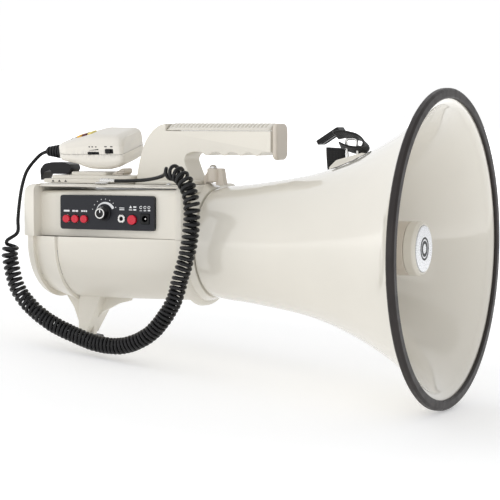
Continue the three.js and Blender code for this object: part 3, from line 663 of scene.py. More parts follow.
# Cord -----------------------------------------------------------------------------------------------
MIC_LEAD = [
    (-411, 1.5, 83.9),
    (-416.5, -1.5, 81),
    (-420, -8, 75),
    (-421.5, -20, 65),
    (-419, -33, 51),
    (-413.5, -47, 35),
    (-409, -57, 20),
    (-405.5, -64, 8),
    (-401.5, -69.5, -0.5),
]
COIL_LINE = [
    (-405.5, -75, -2.5),
    (-406.3, -76, -12),
    (-404.6, -76, -22),
    (-398.5, -76, -42),
    (-386, -76, -57.5),
    (-364, -76, -73),
    (-337, -76, -84),
    (-310.5, -76, -91.5),
    (-284, -76, -91.5),
    (-259, -76, -80.5),
    (-243.5, -76, -64.5),
    (-233, -76, -47.5),
    (-227.5, -76, -29.5),
    (-221.5, -76, -11),
    (-217.5, -76, 7),
    (-216, -75, 24.5),
    (-217.5, -73, 42),
    (-224, -69, 55.5),
    (-235, -63, 64.5),
    (-247, -56, 67),
]
BODY_LEAD = [
    (-252.5, -51, 66.5),
    (-258, -48, 63.8),
    (-266, -45, 61.2),
    (-276, -42.5, 59.4),
    (-288, -41, 58.2),
    (-299, -40.3, 57.6),
    (-315, -40, 57.3),
]
# Distance between turns along the coil: open at its first turns, closed where it sags, loose up the side.
TURN_SPACING = [(0, 5.6), (0.1, 4.9), (0.25, 4.1), (0.45, 3.72)]
TURN_SPACING += [(0.6, 4.1), (0.75, 4.9), (0.9, 5.8), (1, 7.5)]
POINTS_PER_TURN = 22


def helix_path():
    """The curly stretch's own line, and where it starts and ends."""
    line = spline(COIL_LINE, 900)
    steps = np.linalg.norm(np.diff(line, axis=0), axis=1)
    along = np.concatenate([[0], np.cumsum(steps)])
    share = along / along[-1]
    spacing = np.interp(share, [s for s, _ in TURN_SPACING], [d for _, d in TURN_SPACING])
    turns = np.concatenate([[0], np.cumsum(steps / spacing[:-1])])
    tangents = unit_tangents(line)
    normal = np.array([1.0, 0.0, 0.0])
    normals = []
    for t in tangents:
        normal = normal - t * normal.dot(t)
        normal /= np.linalg.norm(normal)
        normals.append(normal)
    normals = np.array(normals)
    count = int(turns[-1] * POINTS_PER_TURN)
    path = []
    for i in range(count + 1):
        turn = turns[-1] * i / count
        at = [np.interp(turn, turns, line[:, k]) for k in range(3)]
        n = np.array([np.interp(turn, turns, normals[:, k]) for k in range(3)])
        t = np.array([np.interp(turn, turns, tangents[:, k]) for k in range(3)])
        side = np.cross(t, n)
        # The turns aren't all alike: their size and tilt drift a little.
        drift = 0.22 * math.sin(turn * 1.7) + 0.15 * math.sin(turn * 0.63 + 1)
        slack = 1 + 1.6 * max(0, turn / turns[-1] - 0.6)
        radius = COIL_R - CORD_R - 0.35 + 0.35 * drift * slack
        tilt = 0.5 * slack * math.sin(turn * 0.9)
        angle = 2 * math.pi * turn + math.pi
        point = np.array(at) + radius * (math.cos(angle) * n + math.sin(angle) * side)
        path.append(point + t * tilt * math.cos(angle))
    return np.array(path)


def joined_path(*paths):
    """One smooth line through several, with its joints rounded."""
    points = np.vstack(paths)
    for _ in range(2):
        smooth = points.copy()
        smooth[1:-1] = 0.25 * points[:-2] + 0.5 * points[1:-1] + 0.25 * points[2:]
        near_joint = np.zeros(len(points), bool)
        start = 0
        for p in paths[:-1]:
            start += len(p)
            near_joint[max(start - 6, 0) : start + 6] = True
        points = np.where(near_joint[:, None], smooth, points)
    return points


def build_cord():
    coil = helix_path()
    lead_in = spline(MIC_LEAD[:-1] + [tuple(coil[0] + (0.5, 0.2, 3))], 60)
    lead_out = spline([tuple(coil[-1])] + BODY_LEAD[1:], 40)[1:]
    path = joined_path(lead_in, coil, lead_out)
    obj = build("curly_cord", tube(path, CORD_R, 10), CORD)
    for polygon in obj.data.polygons:
        polygon.use_smooth = True
    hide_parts("cord_mic_lead", "cord_coil", "cord_body_lead")
    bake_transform(obj)
    return obj


build_cord()

# Horn -----------------------------------------------------------------------------------------------
TURN_SIDES = 176
# The bell's outside, from the neck to the mouth, as (x, radius).
BELL_LINE = [(-226.3, 50.3), (-215, 52.6), (-180, 56.6), (-120, 67.6), (-70, 87.2), (-20, 117.1)]
BELL_LINE += [(-3.6, 131.5)]
SEAM_ANGLE = math.radians(-96)  # of the trim's butt joint, from +Y towards +Z


def build_horn():
    outer = [tuple(p) for p in spline(BELL_LINE, 56)]
    inner = [(x, r - 2.7) for x, r in reversed(outer[4:-1])]
    profile = [(-233, 45.5), (-226.3, 45.5), (-226.3, 49.2), (-225.6, 50.4)]
    profile += outer[1:]
    profile += [(-3.6, 139), (-1.2, 139), (-1.2, 130.4)]
    profile += inner
    profile += [(-226, 43.2), (-233, 43.2)]
    make("horn_shell", lathe(profile, TURN_SIDES), CREAM, stands_for=["horn_bell"])

    channel = [(-5.4, 134.6), (-5.4, 140.6), (-3.8, 142.4), (0.4, 142.4), (2.2, 140.8), (2.2, 134.4)]
    channel += [(1.2, 133.2), (-0.9, 133.2), (-0.9, 139.3), (-3.9, 139.3), (-3.9, 134.6)]
    channel = fillet(channel, 1.4, closed=True, steps=3)
    fine = math.radians(0.22)
    angles = [i / 200 * 2 * math.pi for i in range(200)]
    angles = [a for a in angles if abs(math.remainder(a - SEAM_ANGLE, 2 * math.pi)) > math.radians(0.6)]
    angles += [SEAM_ANGLE + k * fine for k in (-1, 0, 1)]
    angles = sorted(a % (2 * math.pi) for a in angles)

    def butt_joint(x, r, angle):
        off = abs(math.remainder(angle - SEAM_ANGLE, 2 * math.pi))
        return r - 0.9 if off < fine / 2 and r > 134 else r

    make("mouth_trim", lathe(channel, angles, reshape=butt_joint), TRIM, stands_for=["rim_trim"])


def build_reflector():
    tube_line = [(-176, 22.3), (-178, 23.3), (-176, 24.3), (-34.3, 24.3), (-34.3, 22.3)]
    ribs = []
    for i in range(3):
        turn = Matrix.Rotation(i * 2 * math.pi / 3 + math.pi / 2, 3, "X")
        verts, faces = prism(rectangle(-172, -150, -1, 1, 0.4, 2), "z", 14.8, 23)
        ribs.append(([tuple(turn @ Vector(v)) for v in verts], faces))
    reflector = merged(lathe(fillet(tube_line, 0.5, closed=True), 96), *ribs)
    make("reflector", reflector, TAN, stands_for=["reflector_tube"])
    throat = [(-236.8, 41.5), (-233.8, 41.5), (-233.8, 14), (-226, 11.5), (-120, 12.5), (-60, 14.3)]
    throat += [(-60, 12.8), (-120, 10.8), (-226, 9.5), (-236.8, 9.5)]
    make("throat", lathe(fillet(throat, 0.6, closed=True), 72), TAN, stands_for=["throat_tube"])

    cap = [(-38, 0), (-38, 21.8), (-34, 21.8), (-34, 24.3), (-26, 24.3), (-23.2, 22.3), (-23.2, 21.2)]
    cap = fillet([*cap, (-24.6, 21.2)], [0, 0.4, 0.4, 0.7, 3.4, 0.6, 0.3, 0]) + [(-24.6, 0)]
    make("reflector_cap", lathe(cap, 96, closed=False), CREAM_SATIN, stands_for=["centre_cap"])
    disc = fillet([(-24.3, 0), (-24.3, 20.8), (-22.5, 20.8), (-22.2, 19.6)], 0.5) + [(-22.2, 0)]
    make("disc", lathe(disc, 96, closed=False), SILVER, stands_for=["centre_disc"])
    rings = [
        lathe([(-22.3, lo), (-22.04, lo), (-22.04, hi), (-22.3, hi)], 72)
        for lo, hi in ((8.6, 10.4), (4.4, 7.2))
    ]
    make("disc_rings", merged(*rings), DARK_MARK)


# Housing --------------------------------------------------------------------------------------------
SEAM_GAP = 0.15


def end_insets(radius, steps=5):
    """Pairs (distance from the end, inset) that round an end over a radius."""
    quarter = [math.pi / 2 * k / steps for k in range(steps + 1)]
    return [(radius * (1 - math.sin(q)), radius * (1 - math.cos(q))) for q in reversed(quarter)]


def stations(x0, x1, r0, r1):
    """(x, inset) from one rounded end to the other."""
    start = [(x0 + d, i) for d, i in reversed(end_insets(r0))] if r0 else [(x0, 0)]
    end = [(x1 - d, i) for d, i in end_insets(r1)] if r1 else [(x1, 0)]
    return start + end


def upper_line(inset):
    half, top, low = BODY_R - inset, BODY_TOP - 0.35 * inset, SEAM_Z + SEAM_GAP
    return fillet([(half, low), (half, top), (-half, top), (-half, low)], 6, steps=6)


def lower_line(inset):
    radius, top = BODY_R - inset, SEAM_Z - SEAM_GAP
    arc = [(radius * math.cos(a), -radius * math.sin(a)) for a in np.linspace(0, math.pi, 57)]
    return [(radius, top), *arc, (-radius, top)]


def half_shell(name, line, ends, stands_for, body=ROOT, cap_start=True, cap_end=True, cutters=()):
    """A shell lofted along the horn's axis and given a wall."""
    rings = [[(x, u, v) for u, v in line(inset)] for x, inset in ends]
    verts, faces = loft(rings, cap_start, cap_end, closed_ring=False)
    obj = build(name, (verts, faces), CREAM_SATIN)
    centre = sum((v.co for v in obj.data.vertices), Vector()) / len(obj.data.vertices)
    side = max(obj.data.polygons, key=lambda p: p.area)
    if (side.center - centre).dot(side.normal) < 0:
        obj.data.flip_normals()
    thicken(obj, WALL)
    if cutters:
        carve(obj, *[build("cutter", c, CREAM_SATIN) for c in cutters])
    crisp(obj, 30)
    return place(obj, body, [stands_for])


def build_housing():
    neck = lathe([(-245, 0), (-245, 46), (-228, 46), (-228, 0)], 96, closed=False)
    x0, x1, z0, z1 = PANEL
    window = prism(rectangle(x0 - 0.2, x1 + 0.2, z0 - 0.2, z1 + 0.2, 3.1), "y", -60, -48)
    ends = stations(BODY_REAR, BODY_FRONT, 11, 1.5)
    half_shell("housing_top", upper_line, ends, "upper_shell", cutters=[neck, window])
    ends = stations(COVER_X + 0.3, BODY_FRONT, 0, 1.5)
    half_shell("housing_bottom", lower_line, ends, "lower_shell", cap_start=False, cutters=[neck])
    ends = stations(BODY_REAR, COVER_X, 11, 0)
    half_shell("battery_door", lower_line, ends, "battery_cover", "battery_cover", cap_end=False)
    collar = [(-235.7, 46), (-235.7, 55.4), (-234.6, 55.4), (-227, 51.9), (-227, 46)]
    make("collar", lathe(fillet(collar, 0.9, closed=True), 144), CREAM, stands_for=["front_collar"])


def build_top_plate():
    # Stepped edge with two grooves inside it.
    steps = [(0, 51.3), (0, 52.5), (0.5, 53), (2.4, 53), (2.8, 53.6), (4.6, 53.6), (4.9, 53.1), (5.6, 53.1)]
    steps += [(5.9, 54), (6.4, 54.3), (8.2, 54.3), (8.5, 53.7), (9.1, 53.7), (9.4, 54.3)]
    rings = []
    for inset, z in steps:
        flat = rectangle(-400 + inset, -239 - inset, -49.5 + inset, 49.5 - inset, max(4 - inset * 0.3, 1), 5)
        rings.append([(u, v, z) for u, v in flat])
    make("lid_plate", loft(rings), CREAM, stands_for=["top_plate"])


def build_foot():
    web = [(-388, -54.4), (-318, -54.4), (-319, -58), (-331, -61), (-347, -69), (-357, -79), (-358, -92.2)]
    web += [(-374, -90.2), (-375, -79), (-380, -66)]
    web = fillet(web, [0.5, 0.5, 1, 8, 10, 6, 0.5, 0.5, 6, 8], closed=True, steps=4)
    blade = build("foot", prism(web, "y", -3, 3), CREAM_SATIN)
    rib = []
    levels = [(-53.4, 16, -366.5, -343.5, 0), (-70, 14.5, -367.8, -350.7, 0)]
    levels += [(-91, 12.4, -370, -361.5, 0.127)]
    for z, half, x0, x1, slope in levels:
        rib.append([(x, y, z + slope * (x + 366)) for x, y in rectangle(x0, x1, -half, half, 1.2, 3)])
    carve(blade, build("rib", loft(rib), CREAM_SATIN), operation="UNION")
    soften(blade, 0.5, 2, angle=50)
    place(blade, stands_for=["foot_stand"])

    level = TO_ROW @ Matrix.Translation((-366, 0, -96.5)) @ Matrix.Rotation(PITCH, 4, "Y")
    sole = stepped(-9.5, 9.5, 15, 2.5, [(1.1, 0), (0.3, 0.35), (0, 1.1), (0, 3.4), (0.4, 4)], 4)
    make("foot_sole", sole, TRIM, stands_for=["foot_pad"], to_row=level)


def pan_head(name, at, radius, height, stands_for=(), look=None):
    """A domed screw with a cross recess."""
    x, y, z = at
    dome = [(0, 0), (0, radius), (height * 0.25, radius)]
    dome += [(height * (0.25 + 0.75 * math.sin(a)), radius * math.cos(a)) for a in np.linspace(0.35, 1.4, 6)]
    dome += [(height, 0)]
    screw = build(name, turned_at(dome, at, (0, 0, 1), 32, closed=False), look or STEEL)
    w, deep = radius * 0.14, radius * 0.62
    cutters = [
        build("slot", prism([(-a, -b), (a, -b), (a, b), (-a, b)], "z", 0, height), HOLE_SHADE)
        for a, b in ((deep, w), (w, deep))
    ]
    for cutter in cutters:
        cutter.data.transform(TO_ROW @ Matrix.Translation((x, y, z + height * 0.45)) @ TO_ROW.inverted())
    carve(screw, *cutters)
    soften(screw, 0.12, 2, angle=45)
    return place(screw, stands_for=stands_for)


def build_bracket():
    side = [(-239.3, 54.6), (-239.3, 61), (-233, 69.3), (-221, 69.3), (-218.6, 55), (-218.6, 53.6)]
    side += [(-226.6, 53.6), (-226.6, 56.3), (-233.5, 56.3), (-237, 56.3), (-237, 54.6)]
    side = fillet(side, [0.3, 2, 3, 1.6, 1, 0.3, 0.3, 0.3, 0.3, 0.3, 0.3], closed=True, steps=4)
    bracket = build("nose_bracket", prism(side, "y", -4, 4), TAN)
    post = fillet([(0, 0), (0, 5.5), (12.3, 5.5), (12.3, 0)], 0.8)
    post = turned_at(post, (-230, -3, 57), (0, 0, 1), 40, closed=False)
    carve(bracket, build("post", post, TAN), operation="UNION")
    soften(bracket, 0.8, 3, angle=50)
    place(bracket, stands_for=["front_bracket"])
    pan_head("bracket_bolt", (-230, -3, 69.4), 3.6, 3.3, ["bracket_screw"])
    pan_head("lid_bolt", (-256, -41, PLATE_TOP + 0.1), 3, 2.2, ["plate_screw"])


# Control panel --------------------------------------------------------------------------------------
SMALL_BUTTONS = [("voice_button", -355.4), ("music_button", -346.2), ("siren_button", -336.6)]
BUTTON_Z = 22.2
KNOB_XZ = (-315.3, 28.1)
JACK_XZ = (-297.1, 23.3)
POWER_XZ = (-286, 22.5)
SOCKET_XZ = (-273, 23.5)
OUT = (0, -1, 0)


def flat_mark(points):
    """A printed mark on the panel, just proud of it."""
    return prism(points, "y", PANEL_Y - 0.12, PANEL_Y + 0.2)


def bar_mark(x0, x1, z0, z1):
    return slab(x0, x1, z0, z1, PANEL_Y - 0.12, PANEL_Y + 0.2)


def arc_mark(centre, r0, r1, a0, a1, steps=24, taper=1.0):
    """A band along an arc; taper thins its start."""
    cx, cz = centre
    inside, outside = [], []
    for k in range(steps + 1):
        t = k / steps
        a = math.radians(a0 + (a1 - a0) * t)
        width = (r1 - r0) * (taper + (1 - taper) * t)
        inside.append((cx + r0 * math.cos(a), cz + r0 * math.sin(a)))
        outside.append((cx + (r0 + width) * math.cos(a), cz + (r0 + width) * math.sin(a)))
    return flat_mark(inside + outside[::-1])


def dot_mark(x, z, r):
    angles = np.linspace(0, 2 * math.pi, 17)[:-1]
    return flat_mark([(x + r * math.cos(a), z + r * math.sin(a)) for a in angles])


def build_panel():
    x0, x1, z0, z1 = PANEL
    plate = build("panel", prism(rectangle(x0, x1, z0, z1, 3, 6), "y", PANEL_Y, -53.5), PANEL_GREY)
    bores = [(x, BUTTON_Z, 3.95) for _, x in SMALL_BUTTONS]
    bores += [(*POWER_XZ, 4.75), (*KNOB_XZ, 3.4), (*JACK_XZ, 3.1)]
    holes = [rod(r, 14, (x, -50, z), OUT) for x, z, r in bores]
    sx, sz = SOCKET_XZ
    holes.append(prism(rectangle(sx - 4.8, sx + 4.8, sz - 4.8, sz + 4.8, 0.4, 2), "y", -64, -50))
    carve(plate, *[build("hole", h, PANEL_GREY) for h in holes])
    soften(plate, 0.35, 2, angle=50)
    place(plate, stands_for=["control_panel"])

    marks = []
    for i, (_, x) in enumerate(SMALL_BUTTONS):
        # One, two and three short strokes name the three sound keys.
        for k in range(i + 1):
            start = x - 3.4 + k * (6.8 / (i + 1))
            marks.append(bar_mark(start, start + 6.8 / (i + 1) - 0.7, 28.7, 30.3))
    marks.append(arc_mark(KNOB_XZ, 8.6, 11.4, 165, 25, taper=0.15))
    for a in range(25, 166, 20):
        c, s = math.cos(math.radians(a)), math.sin(math.radians(a))
        marks.append(dot_mark(KNOB_XZ[0] + 13 * c, KNOB_XZ[1] + 13 * s, 0.42))
    jx = JACK_XZ[0]
    marks += [bar_mark(jx - 2.6, jx + 2.6, 31.2, 31.9), bar_mark(jx - 2.6, jx + 2.6, 32.8, 33.5)]
    px = POWER_XZ[0]
    up = [(px - 3.4, 33.2), (px - 0.4, 33.2), (px - 1.9, 35.6)]
    marks += [flat_mark(up), bar_mark(px - 3.6, px - 0.2, 31.2, 31.9), bar_mark(px + 1, px + 4, 33.6, 34.9)]
    marks += [bar_mark(px + 1, px + 4, 31.1, 32.3)]
    for k, dx in enumerate((-4.2, 0, 4.2)):
        marks.append(arc_mark((sx + dx, 34), 0.9, 1.4, 0, 330, 14))
        marks.append(bar_mark(sx + dx - 1.3, sx + dx + 1.3, 30.7, 31.2 + 0.25 * k))
    make("panel_marks", merged(*marks), WHITE_MARK, smooth=False)


def button_shape(r, x, z):
    line = fillet([(-7.4, 0), (-7.4, r - 0.4), (-1.4, r - 0.4), (-1.4, r), (0.9, r), (1.15, r - 1.5)], 0.45)
    line += [(0.95, r - 2.2), (0.85, 0)]
    return turned_at(line, (x, -58.45, z), OUT, 40, closed=False)


def build_buttons():
    for name, x in SMALL_BUTTONS:
        make(name + "_cap", button_shape(3.6, x, BUTTON_Z), RED, name, [name])
    make("power_button_cap", button_shape(4.4, *POWER_XZ), RED, "power_button", ["power_button"])


def build_knob():
    x, z = KNOB_XZ
    flutes = 30

    def grip(d, r, angle):
        return r - (0.22 * (0.5 + 0.5 * math.cos(flutes * angle)) if 2.2 < d < 8 and r > 4 else 0)

    line = fillet([(-6, 0), (-6, 2), (0.9, 2), (0.9, 6.9), (2, 6.9), (2.4, 5.9), (8.4, 5.4), (9.1, 4.7)], 0.5)
    line += [(9.1, 4.4), (8.8, 4.3), (8.8, 0)]
    foot = (x, -57.2, z)
    cap = turned_at(line, foot, OUT, 180, closed=False, reshape=grip)
    make("knob", cap, BLACK, "volume_knob", ["volume_knob"])
    edge = fillet([(8.7, 3.7), (9.35, 3.7), (9.35, 4.8), (8.7, 4.8)], 0.15, closed=True)
    make("knob_band", turned_at(edge, foot, OUT, 72), STEEL, "volume_knob")
    pointer = slab(x - 0.45, x + 0.45, z + 0.6, z + 3.5, -66.3, -65.8)
    make("knob_pointer", pointer, WHITE_MARK, "volume_knob", smooth=False)
    side_line = slab(x - 0.35, x + 0.35, z + 5.4, z + 5.95, -65.4, -60)
    make("knob_line", side_line, WHITE_MARK, "volume_knob", smooth=False)


def build_sockets():
    x, z = JACK_XZ
    nut = fillet([(0, 1.8), (1.5, 1.8), (1.9, 2.3), (1.9, 3.3), (1.4, 4), (0, 4)], 0.25, closed=True)

    def notched(d, r, angle):
        return r - (0.45 if r > 3.2 and abs(math.remainder(angle, math.pi / 2)) < 0.14 else 0)

    shell = turned_at([(0, 1.8), (0, 2.8), (5.5, 2.8), (5.5, 1.8)], (x, -51.9, z), OUT, 48)
    body = prism(rectangle(x - 4, x + 4, z - 4, z + 4, 0.5, 3), "y", -51.9, -41)
    nut = turned_at(nut, (x, -57.0, z), OUT, 96, reshape=notched)
    make("jack", merged(nut, shell, body), STEEL, stands_for=["aux_jack"])
    # A dark disc in the jack's opening: painted shade for the depth of the hole.
    make("jack_hole_painted_shade", rod(1.75, 0.2, (x, -56, z), OUT, 32), HOLE_SHADE)

    x, z = SOCKET_XZ
    block = prism(rectangle(x - 4.5, x + 4.5, z - 4.5, z + 4.5, 0.6, 3), "y", -57.8, -44)
    frame_block = build("socket", block, BLACK)
    carve(frame_block, build("bore", rod(2.9, 12, (x, -48, z), OUT), BLACK))
    soften(frame_block, 0.3, 2, angle=50)
    place(frame_block, stands_for=["dc_socket"])
    pin = fillet([(0, 0), (0, 0.95), (8, 0.95), (8.6, 0)], 0.3)
    make("socket_pin", turned_at(pin, (x, -48.4, z), OUT, 24, closed=False), STEEL)


# Handle ---------------------------------------------------------------------------------------------
FINGER_XS = (-230, -213, -196, -180)
GRIP_END = -165.6


def grip_underside(x):
    """Height of the grip's underside, with a rounded ridge between each pair of fingers."""
    z = 84.5
    for ridge in FINGER_XS:
        off = abs(x - ridge)
        if off < 8.5:
            z -= 3.2 * (0.5 + 0.5 * math.cos(math.pi * off / 8.5)) ** 1.25
    return z


def build_handle():
    rear = [(-304, 54.6), (-302.5, 68), (-299, 82), (-294, 95), (-287, 104), (-279.5, 109.2), (-273.2, 110.8)]
    under = [(x, grip_underside(x)) for x in np.linspace(GRIP_END, -243, 116)]
    front = [(-245.5, 84.3), (-251, 82.3), (-253.4, 78), (-251, 70), (-247, 60), (-246, 54.6)]
    side = [*spline(rear, 30), (-273, GRIP_TOP), (GRIP_END, GRIP_TOP), *under, *spline(front, 20)]
    core = build("grip", prism(side, "y", -16, 16), CREAM_SATIN)
    soften(core, 4.2, 6, angle=60)
    rings = []
    for inset, z in ((0, 54.6), (0, 56), (0.5, 57.2), (1.6, 57.9), (3.4, 58.3)):
        flat = rectangle(-303 + inset, -241 - inset * 0.3, -24 + inset, 24 - inset, 6, 5)
        rings.append([(x, y, z) for x, y in flat])
    carve(core, build("flange", loft(rings), CREAM_SATIN), operation="UNION")
    crisp(core, 35)
    place(core, stands_for=["handle"])

    cap = []
    for inset, x in ((1.2, -165.3), (0.3, -165), (0, -164.4), (0, -162.4), (0.6, -161.4), (2, -160.8)):
        flat = rectangle(-13.5 + inset, 13.5 - inset, 77.5 + inset, 111 - inset, 8, 7)
        cap.append([(x, u, v) for u, v in flat])
    make("grip_cap", loft(cap), TAN, stands_for=["handle_end_cap"])


RIB_PITCH = 4.0
RIB_SPAN = (-270, -170)


def build_grip_cover():
    half, base, crown = 15.6, GRIP_TOP + 0.3, 111.2
    start, end = -272.6, GRIP_END
    xs = np.concatenate([np.linspace(start, end, 40), np.arange(RIB_SPAN[0], RIB_SPAN[1], 0.5)])

    def height(x, y):
        edge = base + 1
        z = edge + (crown - edge) * (1 - (abs(y) / half) ** 2)
        if RIB_SPAN[0] < x < RIB_SPAN[1] and abs(y) < 12.4:
            phase = ((x - RIB_SPAN[0]) % RIB_PITCH) / RIB_PITCH
            z -= 1.3 * min(1, max(0, 2.2 - abs(phase - 0.5) * 9))
        return z

    edges = np.linspace(12.8, 15.3, 4)
    ys = np.concatenate([[-half], -edges[::-1], np.linspace(-12.3, 12.3, 24), edges, [half]])
    rings = []
    for x in sorted(set(np.round(xs, 3))):
        drop = 1.2 * max(0, 1 - min(x - start, end - x) / 1.2) ** 2
        top = [(x, y, max(base + 0.4, height(x, y) - drop)) for y in ys]
        rings.append([(x, -half, base), *top, (x, half, base)])
    make("grip_cover", loft(rings), CREAM_SATIN, stands_for=["handle_cover"])


# Microphone -----------------------------------------------------------------------------------------
MIC_SEAM = -2.4
MIC_REAR = -34.5
MIC_PLAN = [(MIC_REAR, 9), (-33.8, 12.4), (-32, 15.8), (-29, 19.2), (-25, 22.2), (-20, 24), (34, 24)]
MIC_PLAN += [(37.6, 23.2), (39.4, 21), (40, 18)]
MIC_TOP = [(MIC_REAR, 4.6), (-30, 6.6), (-24, 8.25), (2, 14.75), (5, 15.5), (9, 15.9), (34, 15.5)]
MIC_TOP += [(37, 14.4), (40, 12)]
MIC_BOTTOM = [(MIC_REAR, -10), (-22, -10.8), (-11, -12.8), (-4, -16), (3, -18), (14, -18.6), (24, -18.3)]
MIC_BOTTOM += [(33, -16), (40, -12)]
SLIDER = (4.1, 15.7, MIC_SEAM, 0.0)
SWITCH = (23.1, 31.1, -1.1, 2.9)
TALK = (-6, 22, -5.4, 4.4)
FACE_SLOPE = 0.25
FACE_Z = 14.25
KEY_Y = -5


def along(points, x):
    return float(np.interp(x, [p[0] for p in points], [p[1] for p in points]))


def mic_half(top_line, seam, sign, inset=0.0):
    xs = [np.linspace(MIC_REAR, -20, 19), np.linspace(-20, 34, 40), np.linspace(34, 40, 13)]
    xs = sorted(set(np.round(np.concatenate(xs), 4)))
    rings = []
    for x in xs:
        xi = min(max(x, MIC_REAR + inset), 40 - inset)
        half = along(MIC_PLAN, x) - inset
        z_end = along(top_line, x) - sign * inset
        crown = (z_end - seam) * sign
        ring = []
        for k in range(33):
            a = math.pi * k / 32
            u, v = math.cos(a), math.sin(a)
            y = half * math.copysign(abs(u) ** 0.34, u)
            ring.append((xi, y, seam + sign * crown * v**0.36))
        rings.append(ring)
    return loft(rings)


def key_direction():
    length = math.hypot(1, FACE_SLOPE)
    return (-FACE_SLOPE / length, 0, 1 / length)


def key_shape(x, half_x, half_y, low, high):
    """A rounded cap square to the sloping face."""
    out = Vector(key_direction())
    along_x = Vector((out.z, 0, -out.x))
    middle = Vector((x, KEY_Y, FACE_Z + x * FACE_SLOPE))
    rings = []
    for inset, d in ((0, low), (0, high - 0.6), (0.25, high - 0.2), (0.8, high)):
        flat = rectangle(-half_x + inset, half_x - inset, -half_y + inset, half_y - inset, 0.9, 4)
        rings.append([tuple(middle + along_x * u + Vector((0, v, 0)) + out * d) for u, v in flat])
    return loft(rings)


def mic_piece(name, shape, look, body=MIC_BODY, stands_for=(), bevel=0, smooth=True):
    return make(name, shape, look, body, stands_for, bevel, 3, MIC_TO_ROW, smooth)


def mic_case(name, line, sign, cutters, stands_for):
    """One half of the case, hollow, with a wall 2 mm thick."""
    hollow = mic_half([(x, z - 2 * sign) for x, z in line], MIC_SEAM - sign, sign, 2)
    half = build(name, mic_half(line, MIC_SEAM + 0.15 * sign, sign), MIC_CREAM, MIC_TO_ROW)
    carve(half, *[build("cutter", shape, MIC_CREAM, MIC_TO_ROW) for shape in (hollow, *cutters)])
    soften(half, 0.3, 2, angle=50)
    place(half, MIC_BODY, [stands_for])


def build_microphone():
    keys = [("mic_key_rear", -12, YELLOW), ("mic_key_middle", -6, DARK_RED)]
    keys += [("mic_key_front", 0, PALE_YELLOW)]
    cutters = [key_shape(x, 2.75, 5.75, -6, 4) for _, x, _ in keys]
    for x0, x1, z0, z1 in (SLIDER, SWITCH):
        cutters.append(prism(rectangle(x0 - 0.3, x1 + 0.3, z0 - 0.3, z1 + 0.3, 0.5, 3), "y", -30, -18))
    x0, x1, z0, z1 = TALK
    talk_hole = prism(rectangle(x0 - 0.3, x1 + 0.3, z0 - 0.3, z1 + 0.3, 2.2, 4), "y", 20, 30)
    mic_case("mic_top", MIC_TOP, 1, [*cutters, talk_hole], "mic_upper_shell")
    mic_case("mic_bottom", MIC_BOTTOM, -1, [talk_hole], "mic_lower_shell")

    for name, x, look in keys:
        mic_piece(name + "_cap", key_shape(x, 2.45, 5.45, -4.5, 1.6), look, name, [name])
    # Dark sheets in the slider and switch slots: painted shade for the hollow case behind them.
    slot_shades = []
    for name, (x0, x1, z0, z1) in (("mic_volume_slider", SLIDER), ("mic_mode_switch", SWITCH)):
        block = prism(rectangle(x0, x0 + 5.5, z0 + 0.3, z1, 0.4, 3), "y", -25.2, -20)
        mic_piece(name + "_thumb", block, BLACK, name, [name], bevel=0.3)
        slot_shades.append(prism(rectangle(x0 - 0.2, x1 + 0.2, z0 - 0.2, z1 + 0.2, 0.4, 2), "y", -23.1, -22.6))
    mic_piece("mic_slot_painted_shade", merged(*slot_shades), HOLE_SHADE, smooth=False)
    talk_bar = prism(rectangle(*TALK, 2, 5), "y", 21.4, 26.6)
    mic_piece("mic_talk_bar", talk_bar, BLACK, "mic_talk_button", ["mic_talk_button"], bevel=0.9)

    marks = [prism([(5, 1.6), (15.6, 2.0), (15.6, 3.1)], "y", -24.12, -23.6)]
    marks += [slab(x, x + 1.6, 4.6, 5.6, -24.1, -23.4) for x in (5.4, 8.6, 12.4)]
    marks += [slab(x, x + 2.6, 4.9, 5.8, -24.1, -23.4) for x in (22.4, 28.6)]
    mic_piece("mic_marks", merged(*marks), DARK_MARK, smooth=False)
    dots = []
    dot = [(-0.4, 0), (-0.4, 1.05), (0.35, 1.05), (0.5, 0)]
    for x in (-22.5, -17.5):
        at = (x, -6, FACE_Z - 0.1 + x * FACE_SLOPE)
        dots.append(turned_at(dot, at, key_direction(), 20, closed=False))
    mic_piece("mic_dots", merged(*dots), DARK_MARK)
    build_relief()


def build_relief():
    """Tapered sleeve with six rounded rings."""
    start = -MIC_REAR + 0.4
    line = [(start, 0), (start, 7)]
    for i in range(6):
        d = start + 3.3 * i
        r = 7.6 - 0.55 * i
        line += [(d, r), (d + 2, r - 0.1), (d + 2.1, r - 2), (d + 3.2, r - 2.1)]
    line += [(start + 20.2, 3.2), (start + 20.2, 0)]
    line = fillet(line, 0.35, steps=2)
    shape = turned_at(line, (0, 0, -5), (-1, 0, 0), 40, closed=False)
    mic_piece("relief_sleeve", shape, MIC_RUBBER, stands_for=["mic_strain_relief"])


# Cradle ---------------------------------------------------------------------------------------------


